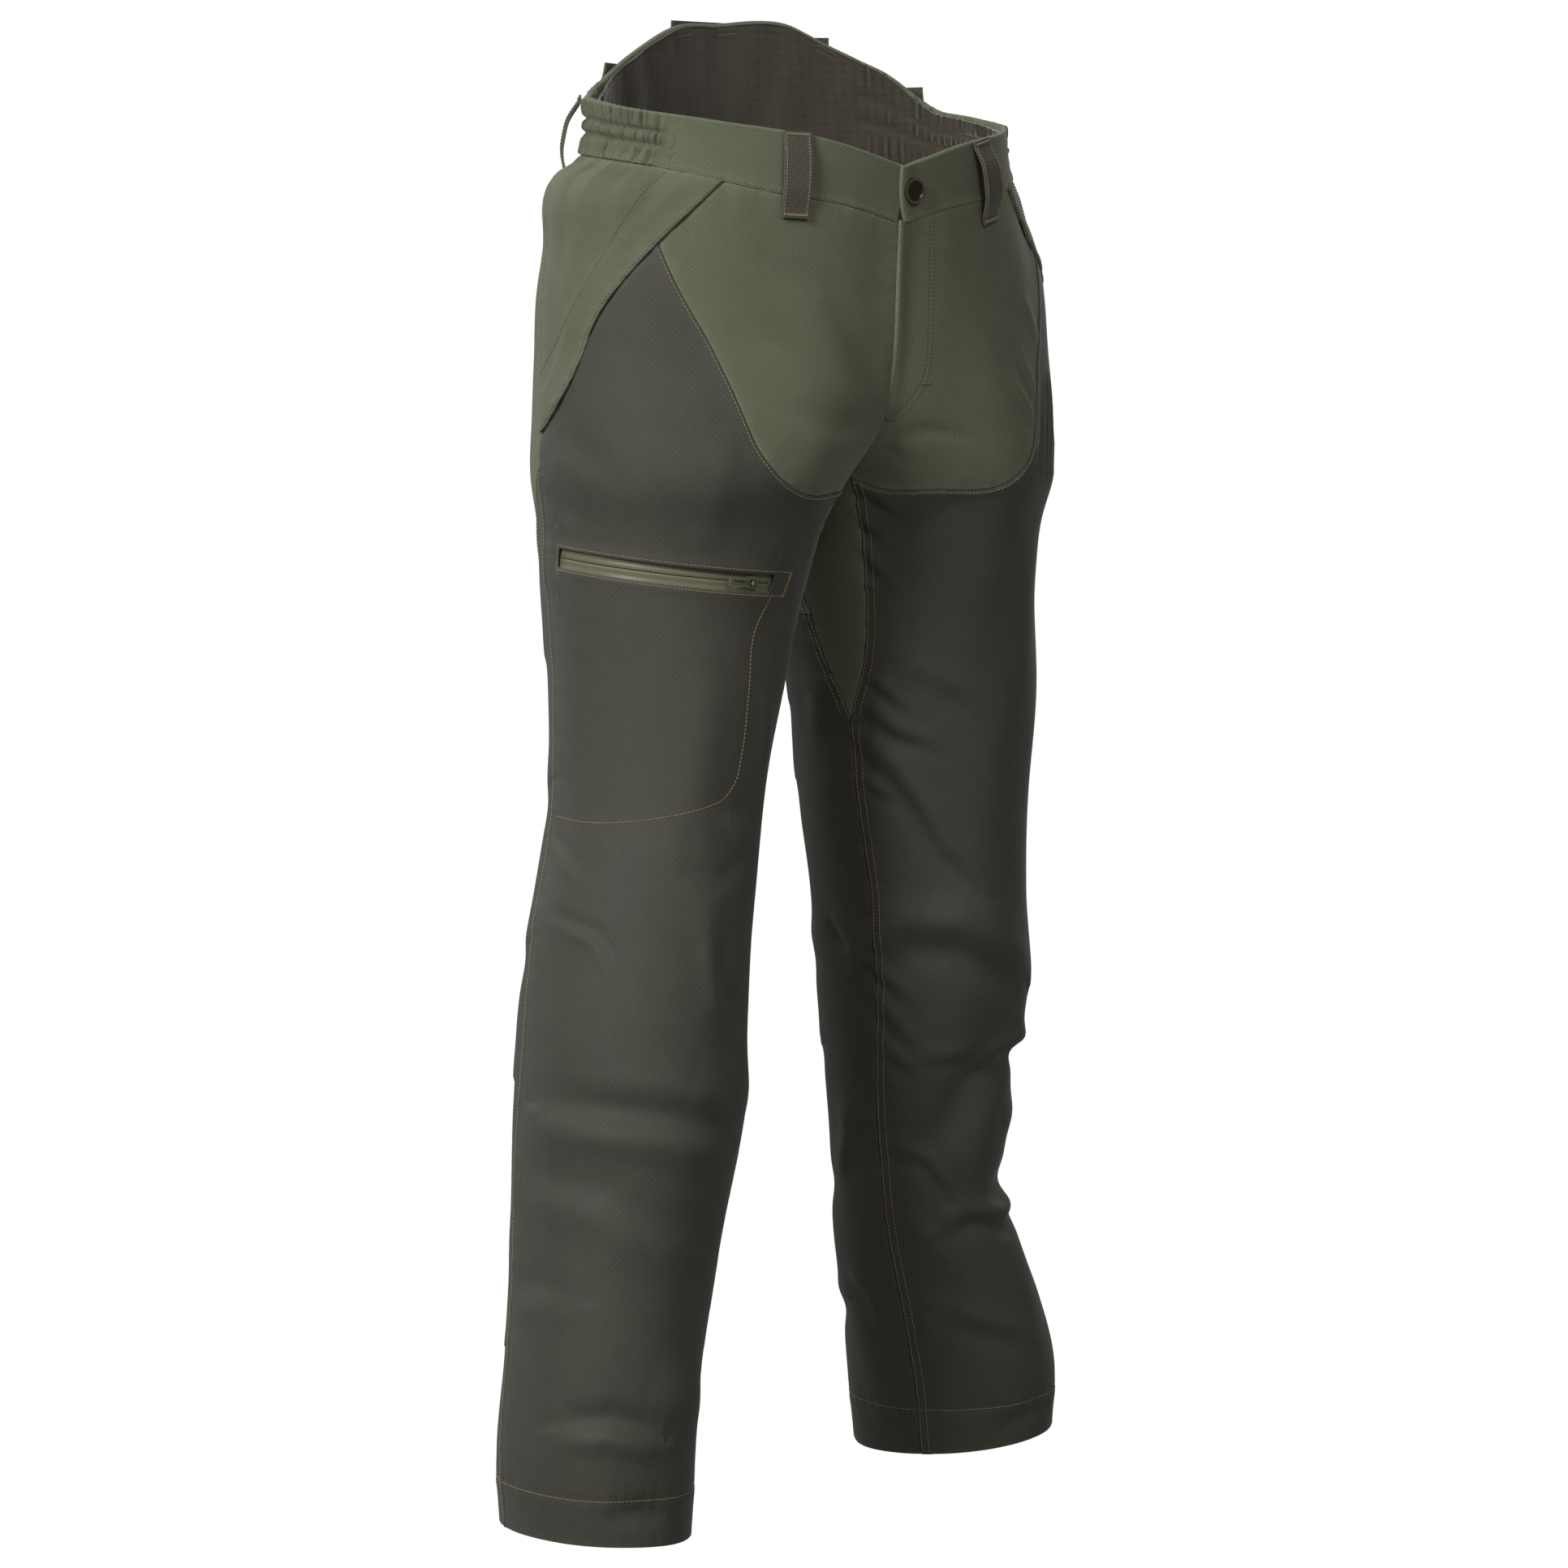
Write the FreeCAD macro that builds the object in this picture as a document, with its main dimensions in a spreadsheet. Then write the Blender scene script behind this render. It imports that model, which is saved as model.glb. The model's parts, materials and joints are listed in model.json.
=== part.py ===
import FreeCAD, Part
import Sketcher
import math
import os

"""Two-tone forestry trousers with a raised back, a button-and-zip fly, slanted hand pockets and a
zipped thigh pocket.  Millimetres.  The wearer faces -Y, +Z is up and +X is the wearer's left.  The
origin is the middle of the waist opening, level with the top of the fly, one metre above the hems."""

V = FreeCAD.Vector
PARTS = "parts"

# ---------------------------------------------------------------- driving dimensions
SIZES = {
    "waist_height": 1000.0,      # top of the fly above the hems
    "shell_cloth": 2.0,          # bonded outer cloth
    "thin_cloth": 1.0,           # lining and pocket cloth
    "band_lining": 1.5,          # brushed fleece inside the waistband
    "hem_depth": 32.0,
    "hem_cloth": 3.2,            # three turned layers
    "loop_width": 21.0,
    "loop_length": 63.0,
    "loop_cloth": 2.2,
    "loop_gap": 6.5,             # room for the belt
    "loop_tack": 6.0,            # length sewn down at each end
    "wide_loop_width": 54.0,
    "button_diameter": 19.0,
    "button_depth": 3.4,
    "button_dish": 0.7,          # how far the face is sunk inside its rim
    "button_rim": 2.0,
    "shank_diameter": 4.0,
    "shank_length": 3.0,
    "bore_length": 1.8,
    "cavity_length": 1.8,
    "tack_diameter": 2.0,
    "tack_head": 9.0,
    "tack_head_depth": 1.0,
    "tack_reach": 5.1,           # from the head's back to the knob
    "tack_knob": 3.0,
    "knob_length": 1.2,
    "running_gap": 0.05,         # radial, in turning fits
    "underlap_cloth": 1.7,
    "shield_width": 40.0,
    "fly_zip_length": 125.0,
    "fly_zip_lean": 4.3,         # degrees from upright
    "tape_width": 11.0,
    "tape_cloth": 0.6,
    "chain_width": 2.2,
    "chain_depth": 1.8,
    "chain_split": 1.6,          # between the two rows of teeth
    "slider_length": 11.0,
    "slider_width": 9.2,
    "slider_plate": 1.3,
    "slider_room": 3.2,          # between the slider's plates
    "pin_diameter": 1.2,
    "pull_bore": 1.3,
    "pull_eye": 2.8,
    "pull_length": 19.0,
    "pull_width": 6.4,
    "pull_sheet": 1.1,
    "lug_width": 1.0,
    "lug_reach": 3.05,           # from inside the slider's face plate to a lug's tip
    "pin_length": 5.2,
    "eye_length": 2.7,
    "thigh_zip_radius": 96.5,    # to the middle of the teeth
    "thigh_zip_sweep": 112.0,    # degrees
    "window_height": 14.0,
    "label_width": 32.0,
    "label_height": 14.0,
    "label_cloth": 0.6,
}

# Leg and hip sections of each half, from the hem up: height, centre out from the middle, centre back
# (+Y), half width, half depth, toe-out in degrees.  Above the crotch the half is cut off at X = 0.
RIGHT_HALF = [
    (0, 206, -12, 68, 82, 15),
    (60, 205, -12, 71, 87, 15),
    (120, 200, -12, 71, 86, 15),
    (200, 188, -10, 75, 87, 14),
    (300, 172, -7, 84, 94, 12),
    (380, 166, -7, 83, 90, 10),
    (450, 156, -4, 81, 85, 10),
    (530, 138, 3, 79, 83, 8),
    (610, 124, 10, 86, 91, 6),
    (700, 111, 16, 99, 102, 4),
    (740, 106, 14, 104, 112, 3),
    (775, 100, 10, 115, 124, 2),
    (820, 76, 10, 140, 128, 0),
    (865, 50, 12, 166, 128, 0),
    (930, 18, 10, 198, 125, 0),
    (985, 0, 4, 200, 122, 0),
    (1015, 0, 1, 184, 121, 0),
    (1060, 0, 0, 180, 119, 0),
    (1130, 0, 0, 178, 118, 0),
]
LEFT_HALF = [
    (0, 216, 63, 66, 85, 15),
    (60, 207, 58, 71, 89, 15),
    (120, 190, 53, 70, 84, 15),
    (200, 160, 43, 63, 72, 14),
    (300, 148, 33, 70, 74, 12),
    (380, 146, 23, 80, 85, 10),
    (450, 138, 18, 81, 85, 10),
    (530, 131, 18, 87, 91, 8),
    (610, 130, 18, 94, 99, 6),
    (700, 116, 12, 101, 106, 4),
    (740, 110, 11, 107, 114, 3),
    (775, 104, 10, 120, 126, 2),
    (820, 80, 10, 148, 128, 0),
    (865, 54, 12, 176, 128, 0),
    (930, 20, 10, 204, 125, 0),
    (985, 0, 4, 196, 122, 0),
    (1015, 0, 1, 184, 121, 0),
    (1060, 0, 0, 180, 119, 0),
    (1130, 0, 0, 178, 118, 0),
]
SIDES = {"right": (-1, RIGHT_HALF), "left": (1, LEFT_HALF)}

# Seam lines as (height or angle, value).  Angles go round a half from its front (0) over the outer
# side (90) to the back (180) and on to the inside of the leg (270, which is also -90).
SIDE_SEAM = [(0, 98), (1050, 108)]
INSEAM = [(0, -82), (600, -79)]
GUSSET_FRONT = [(590, -79), (601, -77), (632, -70), (707, -63), (777, -60)]
GUSSET_BACK = [(590, -79), (601, -81), (644, -91), (694, -99), (771, -119)]
BAND_TOP = [(0, 1006), (20, 1023), (50, 1036), (90, 1050), (120, 1064), (140, 1086), (158, 1109),
            (172, 1120), (180, 1121)]
BAND_SEAM = [(0, 964), (12, 974), (32, 984), (62, 1001), (90, 1010), (120, 1016), (150, 1024), (180, 1030)]
# Seams across the panels as (angle, height) points.
COLOUR_SEAM = [(-66, 782), (-52, 769), (-34, 766), (-1, 772), (10, 785), (22, 807), (44, 889), (58, 948),
               (64, 972)]
POCKET_EDGE = [(43, 1006), (46, 993), (58, 948), (74, 895), (88, 842), (108, 806), (116, 796)]
POCKET_STITCH = [(61, 1012), (63, 1001), (74, 940), (86, 896), (98, 868), (108, 850), (116, 838)]
BACK_COLOUR_SEAM = [(95, 794), (104, 787), (112, 768), (124, 737), (138, 708), (156, 686), (182, 674),
                    (275, 669)]
ELASTIC_FROM, ELASTIC_TO = 64, 138
FRONT_LOOP, SIDE_LOOP, BACK_LOOP = 28, 118, 146
CROTCH_FRONT, CROTCH_BACK = 777.0, 771.0

# Where the fastenings lie.
BUTTON_ANGLE, BUTTON_HEIGHT = 2.6, 988.0
UNDERLAP_INSET = 2.3
FACING_INSET = 4.2
FLY_ZIP_X, FLY_ZIP_FOOT_Y, FLY_ZIP_FOOT = 12.0, -94.5, 832.0
THIGH_ZIP_CENTRE = V(-110.6, 13.5, -289.6)
THIGH_ZIP_UP = V(0.0748, -0.093, 1.0).normalize()
THIGH_ZIP_START, THIGH_ZIP_REST = -11.0, 3.5
PIN_LIFT = 4.6          # of a slider's pin above the middle of the teeth
TACK_SLACK = 0.1        # between the tack's head and the curved underlap
SEAM_PLAY = 0.09        # degrees between the back panels and the front ones at the side
INSEAM_PLAY = 0.3
GUSSET_PLAY = 1.7       # degrees that the gusset overlaps the seams round it


# ---------------------------------------------------------------- curves through a few points
def through(points, x):
    """Smooth value at x of the line through (x, y) points."""
    xs = [p[0] for p in points]
    ys = [p[1] for p in points]
    last = len(xs) - 1
    i = 0
    while i < last - 1 and x > xs[i + 1]:
        i += 1

    def slope(k):
        if k == 0:
            return (ys[1] - ys[0]) / (xs[1] - xs[0])
        if k == last:
            return (ys[last] - ys[last - 1]) / (xs[last] - xs[last - 1])
        before = (ys[k] - ys[k - 1]) / (xs[k] - xs[k - 1])
        after = (ys[k + 1] - ys[k]) / (xs[k + 1] - xs[k])
        wb = xs[k + 1] - xs[k]
        wa = xs[k] - xs[k - 1]
        return (before * wb + after * wa) / (wb + wa)

    span = xs[i + 1] - xs[i]
    t = (x - xs[i]) / span
    if t < 0:
        return ys[i] + slope(i) * (x - xs[i])
    if t > 1:
        return ys[i + 1] + slope(i + 1) * (x - xs[i + 1])
    a = (2 * t ** 3 - 3 * t ** 2 + 1) * ys[i] + (t ** 3 - 2 * t ** 2 + t) * span * slope(i)
    b = (-2 * t ** 3 + 3 * t ** 2) * ys[i + 1] + (t ** 3 - t ** 2) * span * slope(i + 1)
    return a + b


def section(half, height):
    """Centre x, centre y, half width, half depth and toe-out of a half at a height."""
    return [through([(row[0], row[k]) for row in half], height) for k in range(1, 6)]


def on_cloth(side, half, height, angle, inset=0.0):
    """Point of a half's surface, moved inwards by inset."""
    cx, cy, wide, deep, toe = section(half, height)
    a = math.radians(angle)
    r = math.radians(toe)
    lx = (wide - inset) * math.sin(a)
    ly = -(deep - inset) * math.cos(a)
    x = lx * math.cos(r) - ly * math.sin(r) + cx
    y = lx * math.sin(r) + ly * math.cos(r) + cy
    return V(side * x, y, height - SIZES["waist_height"])


def middle_angle(half, height, back=False):
    """Angle at which a half above the crotch reaches X = 0, at its front or back."""
    cx, cy, wide, deep, toe = section(half, height)
    r = math.radians(toe)
    reach = math.hypot(wide * math.cos(r), deep * math.sin(r))
    lead = math.degrees(math.atan2(deep * math.sin(r), wide * math.cos(r)))
    dip = math.degrees(math.asin(max(-1.0, min(1.0, cx / reach))))
    if back:
        return 180.0 + dip - lead
    return -dip - lead


def front_edge(half, height):
    """The front panels' inner edge: inseam, gusset, then the middle of the front."""
    if height < 590:
        return through(INSEAM, height)
    if height < CROTCH_FRONT:
        return through(GUSSET_FRONT, height)
    return middle_angle(half, height)


def back_edge(half, height):
    """The back panels' inner edge: inseam, gusset, then the middle of the back."""
    if height < 590:
        return 360 + through(INSEAM, height)
    if height < CROTCH_BACK:
        return 360 + through(GUSSET_BACK, height)
    return middle_angle(half, height, back=True)


# ---------------------------------------------------------------- cloth solids
def skin(grid):
    surface = Part.BSplineSurface()
    surface.interpolate(grid)
    return surface


def cloth_between(outer, inner):
    """Closed solid between two grids of points."""
    faces = []
    skins = [skin(outer), skin(inner)]
    for s in skins:
        faces.append(s.toShape())
    u0, u1, v0, v1 = skins[0].bounds()
    p0, p1, w0, w1 = skins[1].bounds()
    for a, b in ((u0, p0), (u1, p1)):
        faces.append(skins[0].uIso(a).makeRuledSurface(skins[1].uIso(b)).toShape())
    for a, b in ((v0, w0), (v1, w1)):
        faces.append(skins[0].vIso(a).makeRuledSurface(skins[1].vIso(b)).toShape())
    shell = Part.makeShell(faces)
    shell.sewShape()
    solid = Part.Solid(shell)
    if solid.Volume < 0:
        solid.reverse()
    return solid


def spread(count):
    return [i / (count - 1.0) for i in range(count)]


def patch_grid(place, across, up, columns, rows, inset):
    """Points of a patch whose angle limits depend on height and whose height limits on angle."""
    grid = []
    for v in spread(rows):
        line = []
        for u in spread(columns):
            height = 0.5 * (up[0](0) + up[1](0))
            for step in range(12):
                angle = (1 - u) * across[0](height) + u * across[1](height)
                height = (1 - v) * up[0](angle) + v * up[1](angle)
            line.append(place(height, angle, inset))
        grid.append(line)
    return grid


def patch(place, across, up, columns, rows, insets):
    outer = patch_grid(place, across, up, columns, rows, insets[0])
    inner = patch_grid(place, across, up, columns, rows, insets[1])
    return cloth_between(outer, inner)


def always(value):
    return lambda x: value


def ribbon(place, points, insets=(-9.0, 12.0)):
    """Narrow face through the cloth along a seam."""
    edges = []
    for inset in insets:
        curve = Part.BSplineCurve()
        curve.interpolate([place(h, a, inset) for a, h in points])
        edges.append(curve.toShape())
    return Part.makeRuledSurface(edges[0], edges[1])


def piece_at(solids, point):
    """The solid that holds a point."""
    return min(solids, key=lambda s: s.distToShape(Part.Vertex(point))[0])


# ---------------------------------------------------------------- document helpers
doc = FreeCAD.newDocument("trousers")
sheet = doc.addObject("Spreadsheet::Sheet", "sizes")
for row, (alias, value) in enumerate(SIZES.items(), start=1):
    sheet.set("A%d" % row, alias)
    sheet.set("B%d" % row, str(value))
    sheet.setAlias("B%d" % row, alias)
doc.recompute()

nodes = {}


def amount(terms):
    """Value and sheet expression of a sum of (alias, factor) terms."""
    value = sum(SIZES[alias] * factor for alias, factor in terms)
    text = " + ".join("sizes.%s * %s" % (alias, factor) for alias, factor in terms)
    return value, text


def bind(obj, **fields):
    for field, terms in fields.items():
        value, text = amount(terms)
        setattr(obj, field, value)
        obj.setExpression(field, text)
    return obj


def keep(label, obj):
    """Name an object as one of the finished pieces."""
    obj.Label = label
    nodes[label] = obj
    return obj


def cloth(label, shape):
    piece = doc.addObject("Part::Feature", label)
    piece.Shape = shape
    return keep(label, piece)


def box(name, length, width, height, at=(0, 0, 0)):
    piece = bind(doc.addObject("Part::Box", name), Length=length, Width=width, Height=height)
    piece.Placement.Base = V(*at)
    return piece


def cylinder(name, radius, height, placement=FreeCAD.Placement(), angle=360.0):
    piece = bind(doc.addObject("Part::Cylinder", name), Radius=radius, Height=height)
    piece.Angle = angle
    piece.Placement = placement
    return piece


def cut(name, base, tool):
    piece = doc.addObject("Part::Cut", name)
    piece.Base = base
    piece.Tool = tool
    return piece


def fuse(name, shapes):
    piece = doc.addObject("Part::MultiFuse", name)
    piece.Shapes = shapes
    return piece


def turned(name, outline):
    """Body turned about its own Z from an outline of (radius terms, height terms)."""
    body = doc.addObject("PartDesign::Body", name)
    sketch = body.newObject("Sketcher::SketchObject", name + "_outline")
    plane = [f for f in body.Origin.OriginFeatures if f.Role == "XZ_Plane"][0]
    sketch.AttachmentSupport = (plane, [""])
    sketch.MapMode = "FlatFace"
    corners = [(amount(r), amount(z)) for r, z in outline]
    count = len(corners)
    for i in range(count):
        (r0, _), (z0, _) = corners[i]
        (r1, _), (z1, _) = corners[(i + 1) % count]
        sketch.addGeometry(Part.LineSegment(V(r0, z0, 0), V(r1, z1, 0)), False)
    for i in range(count):
        sketch.addConstraint(Sketcher.Constraint("Coincident", i, 2, (i + 1) % count, 1))
    for i in range(count):
        across, up = corners[i]
        for kind, axis, (value, text) in (("DistanceX", -2, across), ("DistanceY", -1, up)):
            if value == 0:
                sketch.addConstraint(Sketcher.Constraint("PointOnObject", i, 1, axis))
                continue
            number = sketch.addConstraint(Sketcher.Constraint(kind, -1, 1, i, 1, value))
            sketch.setExpression("Constraints[%d]" % number, text)
    turn = body.newObject("PartDesign::Revolution", name + "_turn")
    turn.Profile = sketch
    turn.ReferenceAxis = (sketch, ["V_Axis"])
    turn.Angle = 360.0
    return body


def frame_at(origin, x_way, y_way, z_way):
    return FreeCAD.Placement(origin, FreeCAD.Rotation(x_way, y_way, z_way, "ZXY"))


# ---------------------------------------------------------------- leg, hip and gusset panels
def placer(name):
    side, half = SIDES[name]
    return lambda height, angle, inset: on_cloth(side, half, height, angle, inset)


def seam_height(angle):
    return through(BAND_SEAM, min(max(angle, 0), 180))


def top_height(angle):
    return through(BAND_TOP, min(max(angle, 0), 180))


def split(solid, seams, place):
    """Pieces of a solid cut along seams through the cloth."""
    pieces, _ = solid.generalFuse([ribbon(place, seam) for seam in seams])
    return pieces.Solids


def front_panels(name):
    place = placer(name)
    half = SIDES[name][1]
    cloth_depth = (0, SIZES["shell_cloth"])
    whole = patch(place, (lambda z: front_edge(half, z), lambda z: through(SIDE_SEAM, z)),
                  (always(SIZES["hem_depth"]), seam_height), 13, 41, cloth_depth)
    solids = split(whole, (COLOUR_SEAM, POCKET_EDGE, POCKET_STITCH), place)
    inside = 0.5 * SIZES["shell_cloth"]
    spots = {"front_leg_panel": (300, 20), "front_hip_panel": (900, 10),
             "pocket_band": (905, 77), "side_hip_panel": (970, 90)}
    return {label: piece_at(solids, place(z, a, inside)) for label, (z, a) in spots.items()}


def back_panels(name):
    place = placer(name)
    half = SIDES[name][1]
    across = (lambda z: through(SIDE_SEAM, z) + SEAM_PLAY, lambda z: back_edge(half, z) - INSEAM_PLAY)
    heights = (always(SIZES["hem_depth"]), seam_height)
    whole = patch(place, across, heights, 15, 41, (0, SIZES["shell_cloth"]))
    solids = split(whole, (BACK_COLOUR_SEAM,), place)
    inside = 0.5 * SIZES["shell_cloth"]
    spots = {"seat_panel": (850, 150), "back_leg_panel": (300, 180)}
    return {label: piece_at(solids, place(z, a, inside)) for label, (z, a) in spots.items()}


def crotch_height(half, angle):
    """Height at which a half's inner side meets the other half."""
    low, high = 730.0, 812.0
    for step in range(40):
        middle = 0.5 * (low + high)
        if on_cloth(1, half, middle, angle).x > 0:
            low = middle
        else:
            high = middle
    return low


def gusset():
    """One diamond of cloth from inside one knee, over the crotch, to the other."""
    rows, columns = 12, 9
    grids = []
    for inset in (0.0, SIZES["shell_cloth"]):
        halves = {}
        for name, (side, half) in SIDES.items():
            across = (lambda z: through(GUSSET_FRONT, z) - GUSSET_PLAY,
                      lambda z: through(GUSSET_BACK, z) + GUSSET_PLAY)
            up = (always(602.0), lambda a, half=half: crotch_height(half, a))
            halves[name] = patch_grid(placer(name), across, up, columns, rows, inset)
        middle = []
        for a, b in zip(halves["left"][-1], halves["right"][-1]):
            middle.append(V(0, 0.5 * (a.y + b.y), 0.5 * (a.z + b.z) + inset))
        grids.append(halves["left"][:-1] + [middle] + halves["right"][:-1][::-1])
    return cloth_between(grids[0], grids[1])


def hem_band(name):
    """Turned-up hem: a ring between two lofts of ellipses."""
    side, half = SIDES[name]
    tubes = []
    for tube, inset in (("outside", 0.0), ("inside", 1.0)):
        rings = []
        for level, height in (("edge", 0.0), ("top", SIZES["hem_depth"])):
            cx, cy, wide, deep, toe = section(half, height)
            ring = doc.addObject("Part::Ellipse", "_".join(("hem", name, tube, level)))
            ring.MajorRadius = deep - inset * SIZES["hem_cloth"]
            ring.MinorRadius = wide - inset * SIZES["hem_cloth"]
            ring.setExpression("MajorRadius", "%s - %s * sizes.hem_cloth" % (deep, inset))
            ring.setExpression("MinorRadius", "%s - %s * sizes.hem_cloth" % (wide, inset))
            turn = FreeCAD.Rotation(V(0, 0, 1), 90 + side * toe)
            ring.Placement = FreeCAD.Placement(V(side * cx, cy, height - SIZES["waist_height"]), turn)
            rings.append(ring)
        loft = doc.addObject("Part::Loft", "_".join(("hem", name, tube)))
        loft.Sections = rings
        loft.Solid = True
        tubes.append(loft)
    keep("hem_band_" + name, cut("hem_band_" + name, tubes[0], tubes[1]))


# ---------------------------------------------------------------- waistband and inner cloth
def around(height, angle, inset):
    """Waist surface by an angle that runs on past 180 onto the other half."""
    if angle > 180:
        return placer("left")(height, 360 - angle, inset)
    return placer("right")(height, angle, inset)


UPPER_LINING_INSET = 7.0


def back_turn(angle):
    return min(angle, 360 - angle)


def waistband():
    shell = (0, SIZES["shell_cloth"])
    for name, (side, half) in SIDES.items():
        place = placer(name)
        front = patch(place, (lambda z, half=half: middle_angle(half, z), always(ELASTIC_FROM)),
                      (seam_height, top_height), 13, 5, shell)
        bands[name] = front
        cloth("waistband_elastic_" + name, patch(place, (always(ELASTIC_FROM), always(ELASTIC_TO)),
                                                 (seam_height, top_height), 13, 5, shell))
        webbing = (SIZES["shell_cloth"] + 0.3, SIZES["shell_cloth"] + 0.3 + SIZES["thin_cloth"])
        cloth("elastic_webbing_" + name,
              patch(place, (always(ELASTIC_FROM + 1), always(ELASTIC_TO - 1)),
                    (lambda a: seam_height(a) + 3, lambda a: seam_height(a) + 35), 13, 5, webbing))
        lining = (SIZES["shell_cloth"] + 1.8, SIZES["shell_cloth"] + 1.8 + SIZES["band_lining"])
        heights = (lambda a: seam_height(a) + 1, lambda a: top_height(a) - 1)
        cloth("waistband_lining_" + name,
              patch(place, (always(22), always(179.8)), heights, 21, 5, lining))
        upper = (UPPER_LINING_INSET, UPPER_LINING_INSET + SIZES["thin_cloth"])
        cloth("upper_lining_" + name, patch(place, (always(24), always(179)),
                                            (always(800.0), lambda a: seam_height(a) - 1), 17, 13, upper))
        bag = (3.8, 3.8 + 2 * SIZES["thin_cloth"])
        cloth("hand_pocket_bag_" + name, patch(place, (always(36), always(102)),
                                               (always(812.0), lambda a: 968 + 0.3 * (a - 36)), 9, 9, bag))
    cloth("waistband_back", patch(around, (always(ELASTIC_TO), always(360 - ELASTIC_TO)),
                                  (lambda a: seam_height(back_turn(a)), lambda a: top_height(back_turn(a))),
                                  21, 7, shell))


def surface_frame(name, angle, low, high, lift):
    """Frame on the cloth between two heights: X along the waist, -Y outwards, Z up the cloth."""
    place = placer(name)
    foot = place(low, angle, 0)
    head = place(high, angle, 0)
    up = (head - foot).normalize()
    along = place(0.5 * (low + high), angle + 1, 0) - place(0.5 * (low + high), angle - 1, 0)
    out = along.cross(up).normalize()
    middle = place(0.5 * (low + high), angle, 0)
    if out.dot(V(middle.x, middle.y, 0)) < 0:
        out = out * -1
    inward = out * -1
    along = inward.cross(up)
    return frame_at(foot + out * lift, along, inward, up)


def belt_loop(label, name, angle, width, lift=0.6):
    """Strap sewn down at both ends, standing off the band between them."""
    top = top_height(angle) + 1.5
    outside = box(label + "_strap", ((width, 1.0),), (("loop_gap", 1.0), ("loop_cloth", 1.0)),
                  (("loop_length", 1.0),))
    slot = box(label + "_slot", ((width, 2.0),), (("loop_gap", 1.0),),
               (("loop_length", 1.0), ("loop_tack", -2.0)))
    outside.Placement.Base = V(-0.5 * SIZES[width], -SIZES["loop_gap"] - SIZES["loop_cloth"], 0)
    slot.Placement.Base = V(-SIZES[width], -SIZES["loop_gap"], SIZES["loop_tack"])
    strap = cut(label + "_cut", outside, slot)
    doc.recompute()
    rounded = doc.addObject("Part::Fillet", label)
    rounded.Base = strap
    front = -SIZES["loop_gap"] - SIZES["loop_cloth"]
    edges = []
    for number, edge in enumerate(strap.Shape.Edges, start=1):
        centre = edge.CenterOfMass
        if abs(centre.y - front) < 0.01 and abs(centre.x) < 0.01:
            edges.append((number, 4.0, 4.0))
    rounded.Edges = edges
    rounded.Placement = surface_frame(name, angle, top - SIZES["loop_length"], top, lift)
    keep(label, rounded)


def belt_loops():
    for name in SIDES:
        belt_loop("belt_loop_front_" + name, name, FRONT_LOOP, "loop_width", 1.5)
        belt_loop("belt_loop_side_" + name, name, SIDE_LOOP, "loop_width", 1.2)
        belt_loop("belt_loop_back_" + name, name, BACK_LOOP, "loop_width")
    belt_loop("belt_loop_centre_back", "right", 180, "wide_loop_width")


def size_label():
    label = box("inner_label", (("label_width", 1.0),), (("label_cloth", 1.0),), (("label_height", 1.0),))
    back = surface_frame("right", 180, 1012.0, 1012.0 + SIZES["label_height"],
                         -UPPER_LINING_INSET - SIZES["thin_cloth"] - 1.0)
    label.Placement = back.multiply(FreeCAD.Placement(V(-0.5 * SIZES["label_width"], 0, 0),
                                                      FreeCAD.Rotation()))
    keep("inner_label", label)


# ---------------------------------------------------------------- button
def button():
    """Metal button that turns on a tack riveted through the band's underlap."""
    gap = ("running_gap", 1.0)
    post = ("tack_diameter", 0.5)
    knob = ("tack_knob", 0.5)
    rim = ("button_diameter", 0.5)
    stem = ("shank_length", 1.0)
    face = (stem, ("button_depth", 1.0))
    dish = (stem, ("button_depth", 1.0), ("button_dish", -1.0))
    roof = (("bore_length", 1.0), ("cavity_length", 1.0))
    cap = turned("button_cap_body", [
        ((post, gap), ()),
        ((("shank_diameter", 0.5),), ()),
        ((("shank_diameter", 0.5),), (stem,)),
        ((rim,), (stem,)),
        ((rim,), face),
        ((rim, ("button_rim", -1.0)), face),
        ((rim, ("button_rim", -1.4)), dish),
        ((), dish),
        ((), roof),
        ((knob, gap), roof),
        ((knob, gap), (("bore_length", 1.0),)),
        ((post, gap), (("bore_length", 1.0),)),
    ])
    reach = ("tack_reach", 1.0)
    tack = turned("button_tack_body", [
        ((), ()),
        ((("tack_head", 0.5),), ()),
        ((("tack_head", 0.5),), (("tack_head_depth", 1.0),)),
        ((post,), (("tack_head_depth", 1.0),)),
        ((post,), (reach,)),
        ((knob,), (reach,)),
        ((knob,), (reach, ("knob_length", 1.0))),
        ((), (reach, ("knob_length", 1.0))),
    ])
    spot = surface_frame("left", BUTTON_ANGLE, BUTTON_HEIGHT, BUTTON_HEIGHT + 12, 0.0)
    out = spot.Rotation.multVec(V(0, -1, 0))
    turn = FreeCAD.Rotation(V(0, 0, 1), out)
    underlap_face = placer("left")(BUTTON_HEIGHT, BUTTON_ANGLE, UNDERLAP_INSET)
    foot = underlap_face - out * (SIZES["underlap_cloth"] + SIZES["tack_head_depth"] + TACK_SLACK)
    tack.Placement = FreeCAD.Placement(foot, turn)
    shank_foot = underlap_face + out * 0.3
    cap.Placement = FreeCAD.Placement(shank_foot, turn)
    keep("button_cap", cap)
    keep("button_tack", tack)
    return foot, out, spot


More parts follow.
